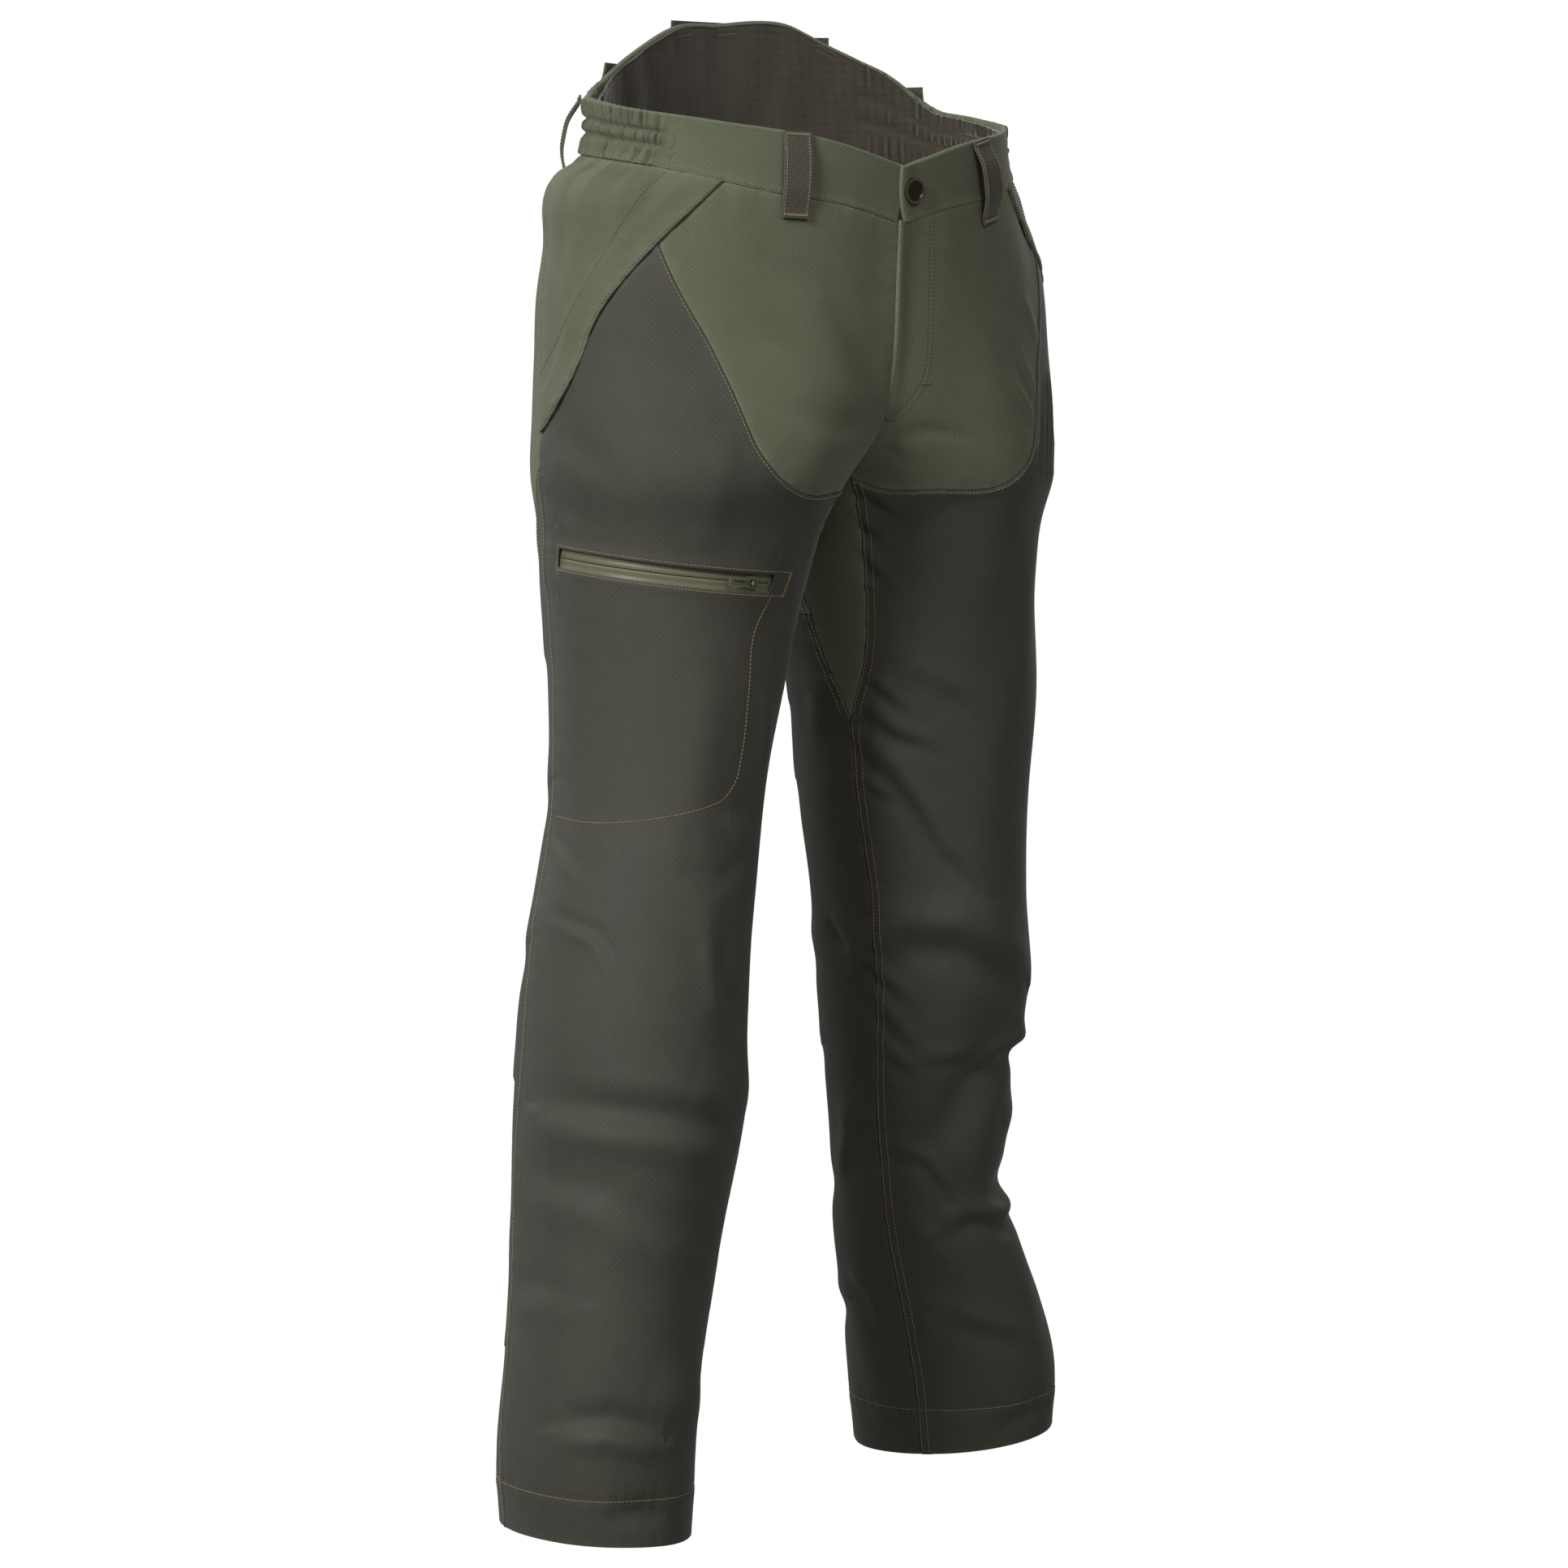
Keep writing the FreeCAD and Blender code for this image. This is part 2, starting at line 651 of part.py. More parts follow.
def waistband_ends(foot, out, spot):
    """Left band end with its keyhole, and the underlap behind it that carries the tack."""
    turn = FreeCAD.Rotation(V(0, 0, 1), out)
    eye = cylinder("buttonhole_eye", (("shank_diameter", 0.5), ("running_gap", 12.0)),
                   (("tack_reach", 4.0),), FreeCAD.Placement(foot, turn))
    slit = box("buttonhole_slit", (("shank_diameter", 4.0),), (("tack_reach", 4.0),), (("tack_knob", 0.5),))
    slit.Placement = FreeCAD.Placement(foot + spot.Rotation.multVec(V(0, -10, -0.75)), spot.Rotation)
    base = doc.addObject("Part::Feature", "waistband_front_left_cloth")
    base.Shape = bands["left"]
    hole = fuse("buttonhole", [eye, slit])
    keep("waistband_front_left", cut("waistband_front_left", base, hole))
    cloth("waistband_front_right", bands["right"])

    def place(height, angle, inset):
        name = "left" if angle >= 0 else "right"
        return placer(name)(height, abs(angle), inset)

    underlap = doc.addObject("Part::Feature", "waistband_underlap_cloth")
    underlap.Shape = patch(place, (always(-9), always(12.5)), (always(968.0), always(1003.0)), 13, 5,
                           (UNDERLAP_INSET, UNDERLAP_INSET + SIZES["underlap_cloth"]))
    bore = cylinder("tack_hole", (("tack_diameter", 0.5), ("running_gap", 2.0)), (("tack_reach", 4.0),),
                    FreeCAD.Placement(foot - out * 10, turn))
    keep("waistband_underlap", cut("waistband_underlap", underlap, bore))


# ---------------------------------------------------------------- zips
def slider_body(name, placement):
    """Two plates joined by a wedge between the rows of teeth, with lugs and a pin for the pull."""
    long, wide = SIZES["slider_length"], SIZES["slider_width"]
    room, plate = SIZES["slider_room"], SIZES["slider_plate"]
    lug_out = PIN_LIFT + 0.7
    parts = []
    for label, y in (("face", -0.5 * room - plate), ("back", 0.5 * room)):
        parts.append(box(name + "_" + label, (("slider_width", 1.0),), (("slider_plate", 1.0),),
                         (("slider_length", 1.0),), (-0.5 * wide, y, -0.5 * long)))
    parts.append(box(name + "_wedge", (("pin_diameter", 1.0),), (("slider_room", 1.0),),
                     (("slider_length", 0.4),), (-0.5 * SIZES["pin_diameter"], -0.5 * room, 0.1 * long)))
    side = 0.5 * SIZES["pin_length"]
    for label, x in (("lug_a", -side), ("lug_b", side - SIZES["lug_width"])):
        parts.append(box(name + "_" + label, (("lug_width", 1.0),), (("lug_reach", 1.0),),
                         (("slider_plate", 2.4),), (x, -lug_out, -1.2 * plate)))
    across = FreeCAD.Placement(V(-side, -PIN_LIFT, 0), FreeCAD.Rotation(V(0, 1, 0), 90))
    parts.append(cylinder(name + "_pin", (("pin_diameter", 0.5),), (("pin_length", 1.0),), across))
    whole = fuse(name, parts)
    whole.Placement = placement
    keep(name, whole)


def pull_tab(name, placement):
    """Eye on the slider's pin, a neck between the lugs and a slotted plate."""
    across = FreeCAD.Placement(V(-0.5 * SIZES["eye_length"], -PIN_LIFT, 0), FreeCAD.Rotation(V(0, 1, 0), 90))
    eye = cylinder(name + "_eye", (("pull_eye", 0.5),), (("eye_length", 1.0),), across)
    sheet_depth = SIZES["pull_sheet"]
    neck = box(name + "_neck", (("pull_eye", 0.9),), (("pull_sheet", 1.0),), (("pull_eye", 1.2),),
               (-0.45 * SIZES["pull_eye"], -PIN_LIFT - 0.5 * sheet_depth, -1.2 * SIZES["pull_eye"]))
    wide, long = SIZES["pull_width"], SIZES["pull_length"]
    top = -0.95 * SIZES["pull_eye"]
    tab = box(name + "_tab", (("pull_width", 1.0),), (("pull_sheet", 1.0),), (("pull_length", 1.0),),
              (-0.5 * wide, -PIN_LIFT - 0.5 * sheet_depth, top - long))
    window = box(name + "_window", (("pull_width", 0.5),), (("pull_sheet", 3.0),), (("pull_length", 0.6),),
                 (-0.25 * wide, -PIN_LIFT - 1.5 * sheet_depth, top - 0.8 * long))
    bore = cylinder(name + "_bore", (("pull_bore", 0.5),), (("pull_width", 2.0),),
                    FreeCAD.Placement(V(-wide, -PIN_LIFT, 0), FreeCAD.Rotation(V(0, 1, 0), 90)))
    whole = cut(name, fuse(name + "_solid", [eye, neck, tab]), fuse(name + "_voids", [window, bore]))
    whole.Placement = placement
    keep(name, whole)


def teeth_row(name, hand, placement):
    """Toothed strip along one tape's edge."""
    depth, wide, split_gap = SIZES["chain_depth"], SIZES["chain_width"], SIZES["chain_split"]
    inner, outer, pitch = 0.5 * split_gap, 0.5 * split_gap + wide, 2.5
    points = [V(hand * outer, -0.5 * depth, 0)]
    count = int(SIZES["fly_zip_length"] / pitch)
    for i in range(count):
        z = i * pitch
        for x, dz in ((inner, 0.0), (inner, 0.55 * pitch), (inner + 0.5 * wide, 0.7 * pitch),
                      (inner + 0.5 * wide, 0.9 * pitch)):
            points.append(V(hand * x, -0.5 * depth, z + dz))
    points.append(V(hand * outer, -0.5 * depth, count * pitch))
    points.append(points[0])
    outline = Part.Face(Part.makePolygon(points))
    strip = cloth(name, outline.extrude(V(0, depth, 0)))
    strip.Placement = placement


def fly():
    """Facing behind the left edge, a straight zip, and the shield behind it."""
    across = (lambda z: middle_angle(LEFT_HALF, z) + 3, lambda z: 0.11 * (z - 870) + 4)
    insets = (FACING_INSET, FACING_INSET + SIZES["thin_cloth"])
    cloth("fly_facing", patch(placer("left"), across, (always(862.0), always(962.0)), 9, 17, insets))
    foot = V(FLY_ZIP_X, FLY_ZIP_FOOT_Y, FLY_ZIP_FOOT - SIZES["waist_height"])
    lean = FreeCAD.Placement(foot, FreeCAD.Rotation(V(1, 0, 0), SIZES["fly_zip_lean"]))
    outer = 0.5 * SIZES["chain_split"] + SIZES["chain_width"]
    for name, hand in (("right", -1), ("left", 1)):
        teeth_row("fly_zip_teeth_" + name, hand, lean)
        tape = box("fly_zip_tape_" + name, (("tape_width", 1.0),), (("tape_cloth", 1.0),),
                   (("fly_zip_length", 1.0),))
        x = outer if hand > 0 else -outer - SIZES["tape_width"]
        beside = FreeCAD.Placement(V(x, -0.5 * SIZES["tape_cloth"], 0), FreeCAD.Rotation())
        tape.Placement = lean.multiply(beside)
        keep("fly_zip_tape_" + name, tape)
    stop = box("fly_zip_bottom_stop", (("chain_width", 3.0),), (("chain_depth", 1.6),),
               (("chain_width", 1.5),))
    stop.Placement = lean.multiply(FreeCAD.Placement(V(-1.5 * SIZES["chain_width"], -0.8 * SIZES["chain_depth"],
                                                       -1.5 * SIZES["chain_width"]), FreeCAD.Rotation()))
    keep("fly_zip_bottom_stop", stop)
    bits = []
    for hand in (-1, 1):
        bit = box("fly_zip_stop_bit", (("chain_width", 1.0),), (("chain_depth", 1.3),),
                  (("chain_width", 1.0),))
        x = 0.5 * SIZES["chain_split"] if hand > 0 else -0.5 * SIZES["chain_split"] - SIZES["chain_width"]
        bit.Placement.Base = V(x, -0.65 * SIZES["chain_depth"], SIZES["fly_zip_length"])
        bits.append(bit)
    stops = fuse("fly_zip_top_stops", bits)
    stops.Placement = lean
    keep("fly_zip_top_stops", stops)
    seat = SIZES["fly_zip_length"] - 0.5 * SIZES["slider_length"] - 0.5
    rest = lean.multiply(FreeCAD.Placement(V(0, 0, seat), FreeCAD.Rotation()))
    slider_body("fly_zip_slider", rest)
    pull_tab("fly_zip_pull", rest)
    shield = box("fly_shield", (("shield_width", 1.0),), (("thin_cloth", 1.2),), (("fly_zip_length", 1.0),))
    shield.Placement = lean.multiply(FreeCAD.Placement(V(-20, 3.6, 0), FreeCAD.Rotation()))
    keep("fly_shield", shield)


def zip_arc_frame(angle):
    """Frame on the thigh zip's arc: X across the zip, -Y outwards, Z the way it closes."""
    axis = THIGH_ZIP_UP * -1
    front = (V(0, -1, 0) - THIGH_ZIP_UP * THIGH_ZIP_UP.dot(V(0, -1, 0))).normalize()
    out = FreeCAD.Rotation(axis, angle).multVec(front)
    closing = axis.cross(out) * -1
    inward = out * -1
    return frame_at(THIGH_ZIP_CENTRE + out * SIZES["thigh_zip_radius"], inward.cross(closing), inward, closing)


def ring_sector(name, low, high, start, sweep, inner, outer):
    """Slice of a tube about the thigh zip's axis, between two levels along it."""
    axis = THIGH_ZIP_UP * -1
    front = (V(0, -1, 0) - THIGH_ZIP_UP * THIGH_ZIP_UP.dot(V(0, -1, 0))).normalize()
    out = FreeCAD.Rotation(axis, start).multVec(front)
    rest = frame_at(THIGH_ZIP_CENTRE + THIGH_ZIP_UP * high, out, axis.cross(out), axis)
    tubes = []
    for label, offset in (("wall", outer), ("core", inner)):
        tube = doc.addObject("Part::Cylinder", name + "_" + label)
        tube.Radius = SIZES["thigh_zip_radius"] + offset
        tube.setExpression("Radius", "sizes.thigh_zip_radius + %s" % offset)
        tube.Height = high - low
        tube.Angle = sweep
        tube.Placement = rest
        tubes.append(tube)
    return cut(name, tubes[0], tubes[1])


def thigh_zip():
    """Zip round the right thigh: tapes behind the cloth, teeth, end stops, slider and pull."""
    sweep = SIZES["thigh_zip_sweep"]
    inner = 0.5 * SIZES["chain_split"]
    outer = inner + SIZES["chain_width"]
    half_depth = 0.5 * SIZES["chain_depth"]
    edge = outer + SIZES["tape_width"]
    for name, low, high in (("upper", outer, edge), ("lower", -edge, -outer)):
        label = "thigh_zip_tape_" + name
        keep(label, ring_sector(label, low, high, THIGH_ZIP_START, sweep,
                                -half_depth, -half_depth + SIZES["tape_cloth"]))
    for name, low, high in (("upper", inner, outer), ("lower", -outer, -inner)):
        label = "thigh_zip_teeth_" + name
        keep(label, ring_sector(label, low, high, THIGH_ZIP_START + 4, sweep - 8, -half_depth, half_depth))
    ends = []
    for name, start in (("front", THIGH_ZIP_START + 2), ("side", THIGH_ZIP_START + sweep - 4)):
        ends.append(ring_sector("thigh_zip_stop_" + name, -outer, outer, start, 2.0, -half_depth, half_depth))
    keep("thigh_zip_stops", fuse("thigh_zip_stops", ends))
    slider_body("thigh_zip_slider", zip_arc_frame(THIGH_ZIP_REST))
    pull_tab("thigh_zip_pull", zip_arc_frame(THIGH_ZIP_REST))
    high = 0.5 * SIZES["window_height"]
    window = ring_sector("thigh_zip_window", -high, high, THIGH_ZIP_START + 3, sweep - 6, -8.0, 14.0)
    belt = ring_sector("thigh_zip_belt", -high, high, 0.0, 360.0, -60.0, 60.0)
    return window, belt


def thigh_panels(solid, window, belt):
    """The right leg's front cloth: above the zip, below it, and the two tabs at the zip's ends."""
    whole = doc.addObject("Part::Feature", "thigh_cloth")
    whole.Shape = solid
    clear = cut("thigh_cloth_clear", whole, belt)
    ring = doc.addObject("Part::Common", "thigh_cloth_ring")
    ring.Base = whole
    ring.Tool = belt
    keep("thigh_zip_end_cloth", cut("thigh_zip_end_cloth", ring, window))
    doc.recompute()
    lower, upper = sorted(clear.Shape.Solids, key=lambda s: s.CenterOfMass.z)
    cloth("front_leg_panel_right", lower)
    cloth("front_thigh_panel_right", upper)


def zip_line(angle):
    """Height of the thigh zip's middle on the cloth."""
    place = placer("right")
    low, high = 640.0, 780.0
    for step in range(30):
        middle = 0.5 * (low + high)
        if (place(middle, angle, 0) - THIGH_ZIP_CENTRE).dot(THIGH_ZIP_UP) > 0:
            high = middle
        else:
            low = middle
    return low


def pocket_bag():
    bag = patch(placer("right"), (lambda z: -11.0, lambda z: 100.0),
                (always(532.0), lambda a: zip_line(a) - 16.5), 13, 11, (2.5, 2.5 + 2 * SIZES["thin_cloth"]))
    cloth("thigh_pocket_bag", bag)


# ---------------------------------------------------------------- the whole garment
def build():
    window, belt = thigh_zip()
    for name in SIDES:
        for label, solid in {**front_panels(name), **back_panels(name)}.items():
            if (label, name) == ("front_leg_panel", "right"):
                thigh_panels(solid, window, belt)
            else:
                cloth(label + "_" + name, solid)
        hem_band(name)
    cloth("crotch_gusset", gusset())
    waistband()
    waistband_ends(*button())
    belt_loops()
    size_label()
    fly()
    pocket_bag()


def check():
    doc.recompute()
    for obj in doc.Objects:
        for state in obj.State:
            if state in ("Invalid", "Error"):
                raise SystemExit("%s is %s" % (obj.Name, state))
    for label, obj in nodes.items():
        if obj.Shape.isNull() or not obj.Shape.isValid() or not obj.Shape.Solids:
            raise SystemExit(label + " has no valid solid")


def export():
    os.makedirs(PARTS, exist_ok=True)
    for label, obj in sorted(nodes.items()):
        obj.Shape.exportStep(os.path.join(PARTS, label + ".step"))
        print("%-28s solids %d volume %.0f" % (label, len(obj.Shape.Solids), obj.Shape.Volume))


bands = {}
build()
check()
export()
print(len(nodes), "nodes")
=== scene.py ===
"""Looks of the two-tone forestry trousers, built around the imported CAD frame.

Lengths in this file are millimetres unless a name says otherwise.  A place on the cloth is a height
above the hems and an angle round one half: 0 is its front, 90 its outer side, 180 its back and
270, which is also -90, the inside of the leg."""
import json
import math
import random
from functools import partial

import bpy
import numpy as np
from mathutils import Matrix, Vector
from mathutils.bvhtree import BVHTree


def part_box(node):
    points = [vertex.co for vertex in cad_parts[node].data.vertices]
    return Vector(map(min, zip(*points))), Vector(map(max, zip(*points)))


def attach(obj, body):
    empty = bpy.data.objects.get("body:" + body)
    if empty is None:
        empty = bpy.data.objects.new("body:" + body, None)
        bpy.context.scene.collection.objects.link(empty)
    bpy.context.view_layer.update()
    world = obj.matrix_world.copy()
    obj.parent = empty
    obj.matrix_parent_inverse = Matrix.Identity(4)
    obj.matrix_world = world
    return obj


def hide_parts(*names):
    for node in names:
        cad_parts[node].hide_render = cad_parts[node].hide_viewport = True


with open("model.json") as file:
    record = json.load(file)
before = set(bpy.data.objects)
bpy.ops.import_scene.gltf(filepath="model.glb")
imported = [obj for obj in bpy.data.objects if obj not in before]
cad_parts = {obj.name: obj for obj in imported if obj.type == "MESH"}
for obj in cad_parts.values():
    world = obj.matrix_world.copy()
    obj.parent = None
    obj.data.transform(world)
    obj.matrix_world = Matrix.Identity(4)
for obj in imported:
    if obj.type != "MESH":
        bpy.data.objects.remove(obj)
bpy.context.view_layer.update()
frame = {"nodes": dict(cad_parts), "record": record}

MM = 0.001
WAIST = 1000.0
GUSSET_LOW = 590.0
CLOTH = 1.1
# The painted highlight on raised cloth edges fades over the first value in mm; the second is the
# distance that gives no highlight.
HIGHLIGHT_FADE = 2.5
NO_HIGHLIGHT = 99.0
PICK_REACH = 0.07

# ---------------------------------------------------------------- the garment's shape
# height, centre out from the middle, centre back, half width, half depth, toe-out in degrees
RIGHT_ROWS = [
    (0, 206, -12, 68, 82, 15), (60, 205, -12, 71, 87, 15), (120, 200, -12, 71, 86, 15),
    (200, 188, -10, 75, 87, 14), (300, 172, -7, 84, 94, 12), (380, 166, -7, 83, 90, 10),
    (450, 156, -4, 81, 85, 10), (530, 138, 3, 79, 83, 8), (610, 124, 10, 86, 91, 6),
    (700, 111, 16, 99, 102, 4), (740, 106, 14, 104, 112, 3), (775, 100, 10, 115, 124, 2),
    (820, 76, 10, 140, 128, 0), (865, 50, 12, 166, 128, 0), (930, 18, 10, 198, 125, 0),
    (985, 0, 4, 200, 122, 0), (1015, 0, 1, 184, 121, 0), (1060, 0, 0, 180, 119, 0),
    (1130, 0, 0, 178, 118, 0),
]
LEFT_ROWS = [
    (0, 216, 63, 66, 85, 15), (60, 207, 58, 71, 89, 15), (120, 190, 53, 70, 84, 15),
    (200, 160, 43, 63, 72, 14), (300, 148, 33, 70, 74, 12), (380, 146, 23, 80, 85, 10),
    (450, 138, 18, 81, 85, 10), (530, 131, 18, 87, 91, 8), (610, 130, 18, 94, 99, 6),
    (700, 116, 12, 101, 106, 4), (740, 110, 11, 107, 114, 3), (775, 104, 10, 120, 126, 2),
    (820, 80, 10, 148, 128, 0), (865, 54, 12, 176, 128, 0), (930, 20, 10, 204, 125, 0),
    (985, 0, 4, 196, 122, 0), (1015, 0, 1, 184, 121, 0), (1060, 0, 0, 180, 119, 0),
    (1130, 0, 0, 178, 118, 0),
]
CROTCH_FRONT, CROTCH_BACK = 777.0, 771.0
ELASTIC_FROM, ELASTIC_TO = 64.0, 138.0
BACK_TILT = {"right": -9.0, "left": 18.0}
BLOUSE_SIZE = {"right": 13.0, "left": 7.0}
RIDGE_GAIN, STEP_GAIN = 1.25, 2.3


def through(points):
    """Smooth curve through (x, y) points, carried on straight past its ends."""
    xs, ys = np.array(points, float).T
    slopes = np.gradient(ys, xs)

    def at(x):
        x = np.asarray(x, float)
        k = np.clip(np.searchsorted(xs, x) - 1, 0, len(xs) - 2)
        span = xs[k + 1] - xs[k]
        t = (x - xs[k]) / span
        start = (2 * t ** 3 - 3 * t ** 2 + 1) * ys[k] + (t ** 3 - 2 * t ** 2 + t) * span * slopes[k]
        end = (-2 * t ** 3 + 3 * t ** 2) * ys[k + 1] + (t ** 3 - t ** 2) * span * slopes[k + 1]
        before = ys[k] + slopes[k] * (x - xs[k])
        after = ys[k + 1] + slopes[k + 1] * (x - xs[k + 1])
        return np.where(t < 0, before, np.where(t > 1, after, start + end))
    return at


def swapped(points):
    return sorted((b, a) for a, b in points)


def always(value):
    return lambda x: np.full(np.shape(x), float(value))


def ease(t):
    t = np.clip(t, 0.0, 1.0)
    return t * t * (3 - 2 * t)


def bell(x, width):
    return np.exp(-(x / width) ** 2)


side_seam = through([(0, 98), (1050, 108)])
inseam = through([(0, -82), (600, -79)])
gusset_front = through([(590, -79), (601, -77), (632, -70), (707, -63), (777, -60)])
gusset_back = through([(590, -79), (601, -81), (644, -91), (694, -99), (771, -119)])
TOP_POINTS = [(0, 1006), (20, 1023), (50, 1036), (90, 1050), (120, 1064), (140, 1086),
              (158, 1109), (172, 1120), (180, 1121)]
top_curve = through(TOP_POINTS)
seam_curve = through([(0, 964), (12, 974), (32, 984), (62, 1001), (90, 1010), (120, 1016),
                      (150, 1024), (180, 1030)])
colour_seam = through([(-66, 782), (-52, 769), (-34, 766), (-1, 772), (10, 785), (22, 807),
                       (44, 889), (58, 948), (64, 972)])
POCKET_EDGE = [(43, 1006), (46, 993), (58, 948), (74, 895), (88, 842), (108, 806), (116, 796)]
POCKET_STITCH = [(61, 1012), (63, 1001), (74, 940), (86, 896), (98, 868), (108, 850), (116, 838)]
pocket_edge = through(POCKET_EDGE)
pocket_edge_angle = through(swapped(POCKET_EDGE))
pocket_stitch_angle = through(swapped(POCKET_STITCH))
back_colour_seam = through([(95, 794), (104, 787), (112, 768), (124, 737), (138, 708),
                            (156, 686), (182, 674), (275, 669)])


def turned(a):
    """Angle as seen from its own side, for a waist angle that may run on past 180."""
    return np.minimum(np.abs(a), 360 - np.abs(a))


def band_seam(a):
    return seam_curve(turned(a))


class Half:
    """One half of the garment: its section at each height and its surface."""

    def __init__(self, name, side, rows):
        self.name = name
        self.side = side
        rows = np.array(rows, float)
        self.fields = [through(rows[:, (0, k)]) for k in range(1, 6)]

    def section(self, h):
        return [field(h) for field in self.fields]

    def base(self, h, a, inset=0.0):
        h, a = np.broadcast_arrays(np.asarray(h, float), np.asarray(a, float))
        cx, cy, wide, deep, toe = self.section(h)
        t, r = np.radians(a), np.radians(toe)
        lx = (wide - inset) * np.sin(t)
        ly = -(deep - inset) * np.cos(t)
        x = lx * np.cos(r) - ly * np.sin(r) + cx
        y = lx * np.sin(r) + ly * np.cos(r) + cy
        return np.stack([self.side * x, y, h - WAIST + hem_tilt(self, h, a)], axis=-1)

    def normal(self, h, a):
        """Outward unit normal of the plain surface."""
        along = self.base(h, np.asarray(a) + 0.8) - self.base(h, np.asarray(a) - 0.8)
        up = self.base(np.asarray(h) + 1.5, a) - self.base(np.asarray(h) - 1.5, a)
        n = self.side * np.cross(along, up)
        return n / np.linalg.norm(n, axis=-1, keepdims=True)

    def scale(self, h, a):
        """Millimetres along the cloth for one degree."""
        wide, deep = self.section(h)[2:4]
        t = np.radians(a)
        return np.hypot(wide * np.cos(t), deep * np.sin(t)) * math.pi / 180

    def mean_scale(self, h):
        wide, deep = self.section(h)[2:4]
        return (wide + deep) * 0.5 * math.pi / 180

    def middle(self, h, back=False):
        """Angle at which the half reaches the middle plane above the crotch."""
        cx, _, wide, deep, toe = self.section(h)
        r = np.radians(toe)
        reach = np.hypot(wide * np.cos(r), deep * np.sin(r))
        lead = np.degrees(np.arctan2(deep * np.sin(r), wide * np.cos(r)))
        dip = np.degrees(np.arcsin(np.clip(cx / reach, -1, 1)))
        return 180 + dip - lead if back else -dip - lead

    def band_top(self, a):
        """Top edge of the waistband; the raised back stands prouder on the wearer's left."""
        a = turned(a)
        return top_curve(a) + BACK_TILT[self.name] * ease((a - 104) / 24) * ease((178 - a) / 26)

    def front_edge(self, h):
        h = np.asarray(h, float)
        low = np.where(h < GUSSET_LOW, inseam(h), gusset_front(h))
        return np.where(h < CROTCH_FRONT, low, self.middle(h))

    def back_edge(self, h):
        h = np.asarray(h, float)
        low = 360 + np.where(h < GUSSET_LOW, inseam(h), gusset_back(h))
        return np.where(h < CROTCH_BACK, low, self.middle(h, back=True))


def hem_tilt(half, h, a):
    """The hems don't lie level: each dips towards the inside of its leg."""
    rise, lead, level = (5.0, 60.0, 1.0) if half.name == "right" else (11.0, 50.0, 3.0)
    return (level + rise * np.cos(np.radians(a - lead))) * np.exp(-np.asarray(h, float) / 70.0)


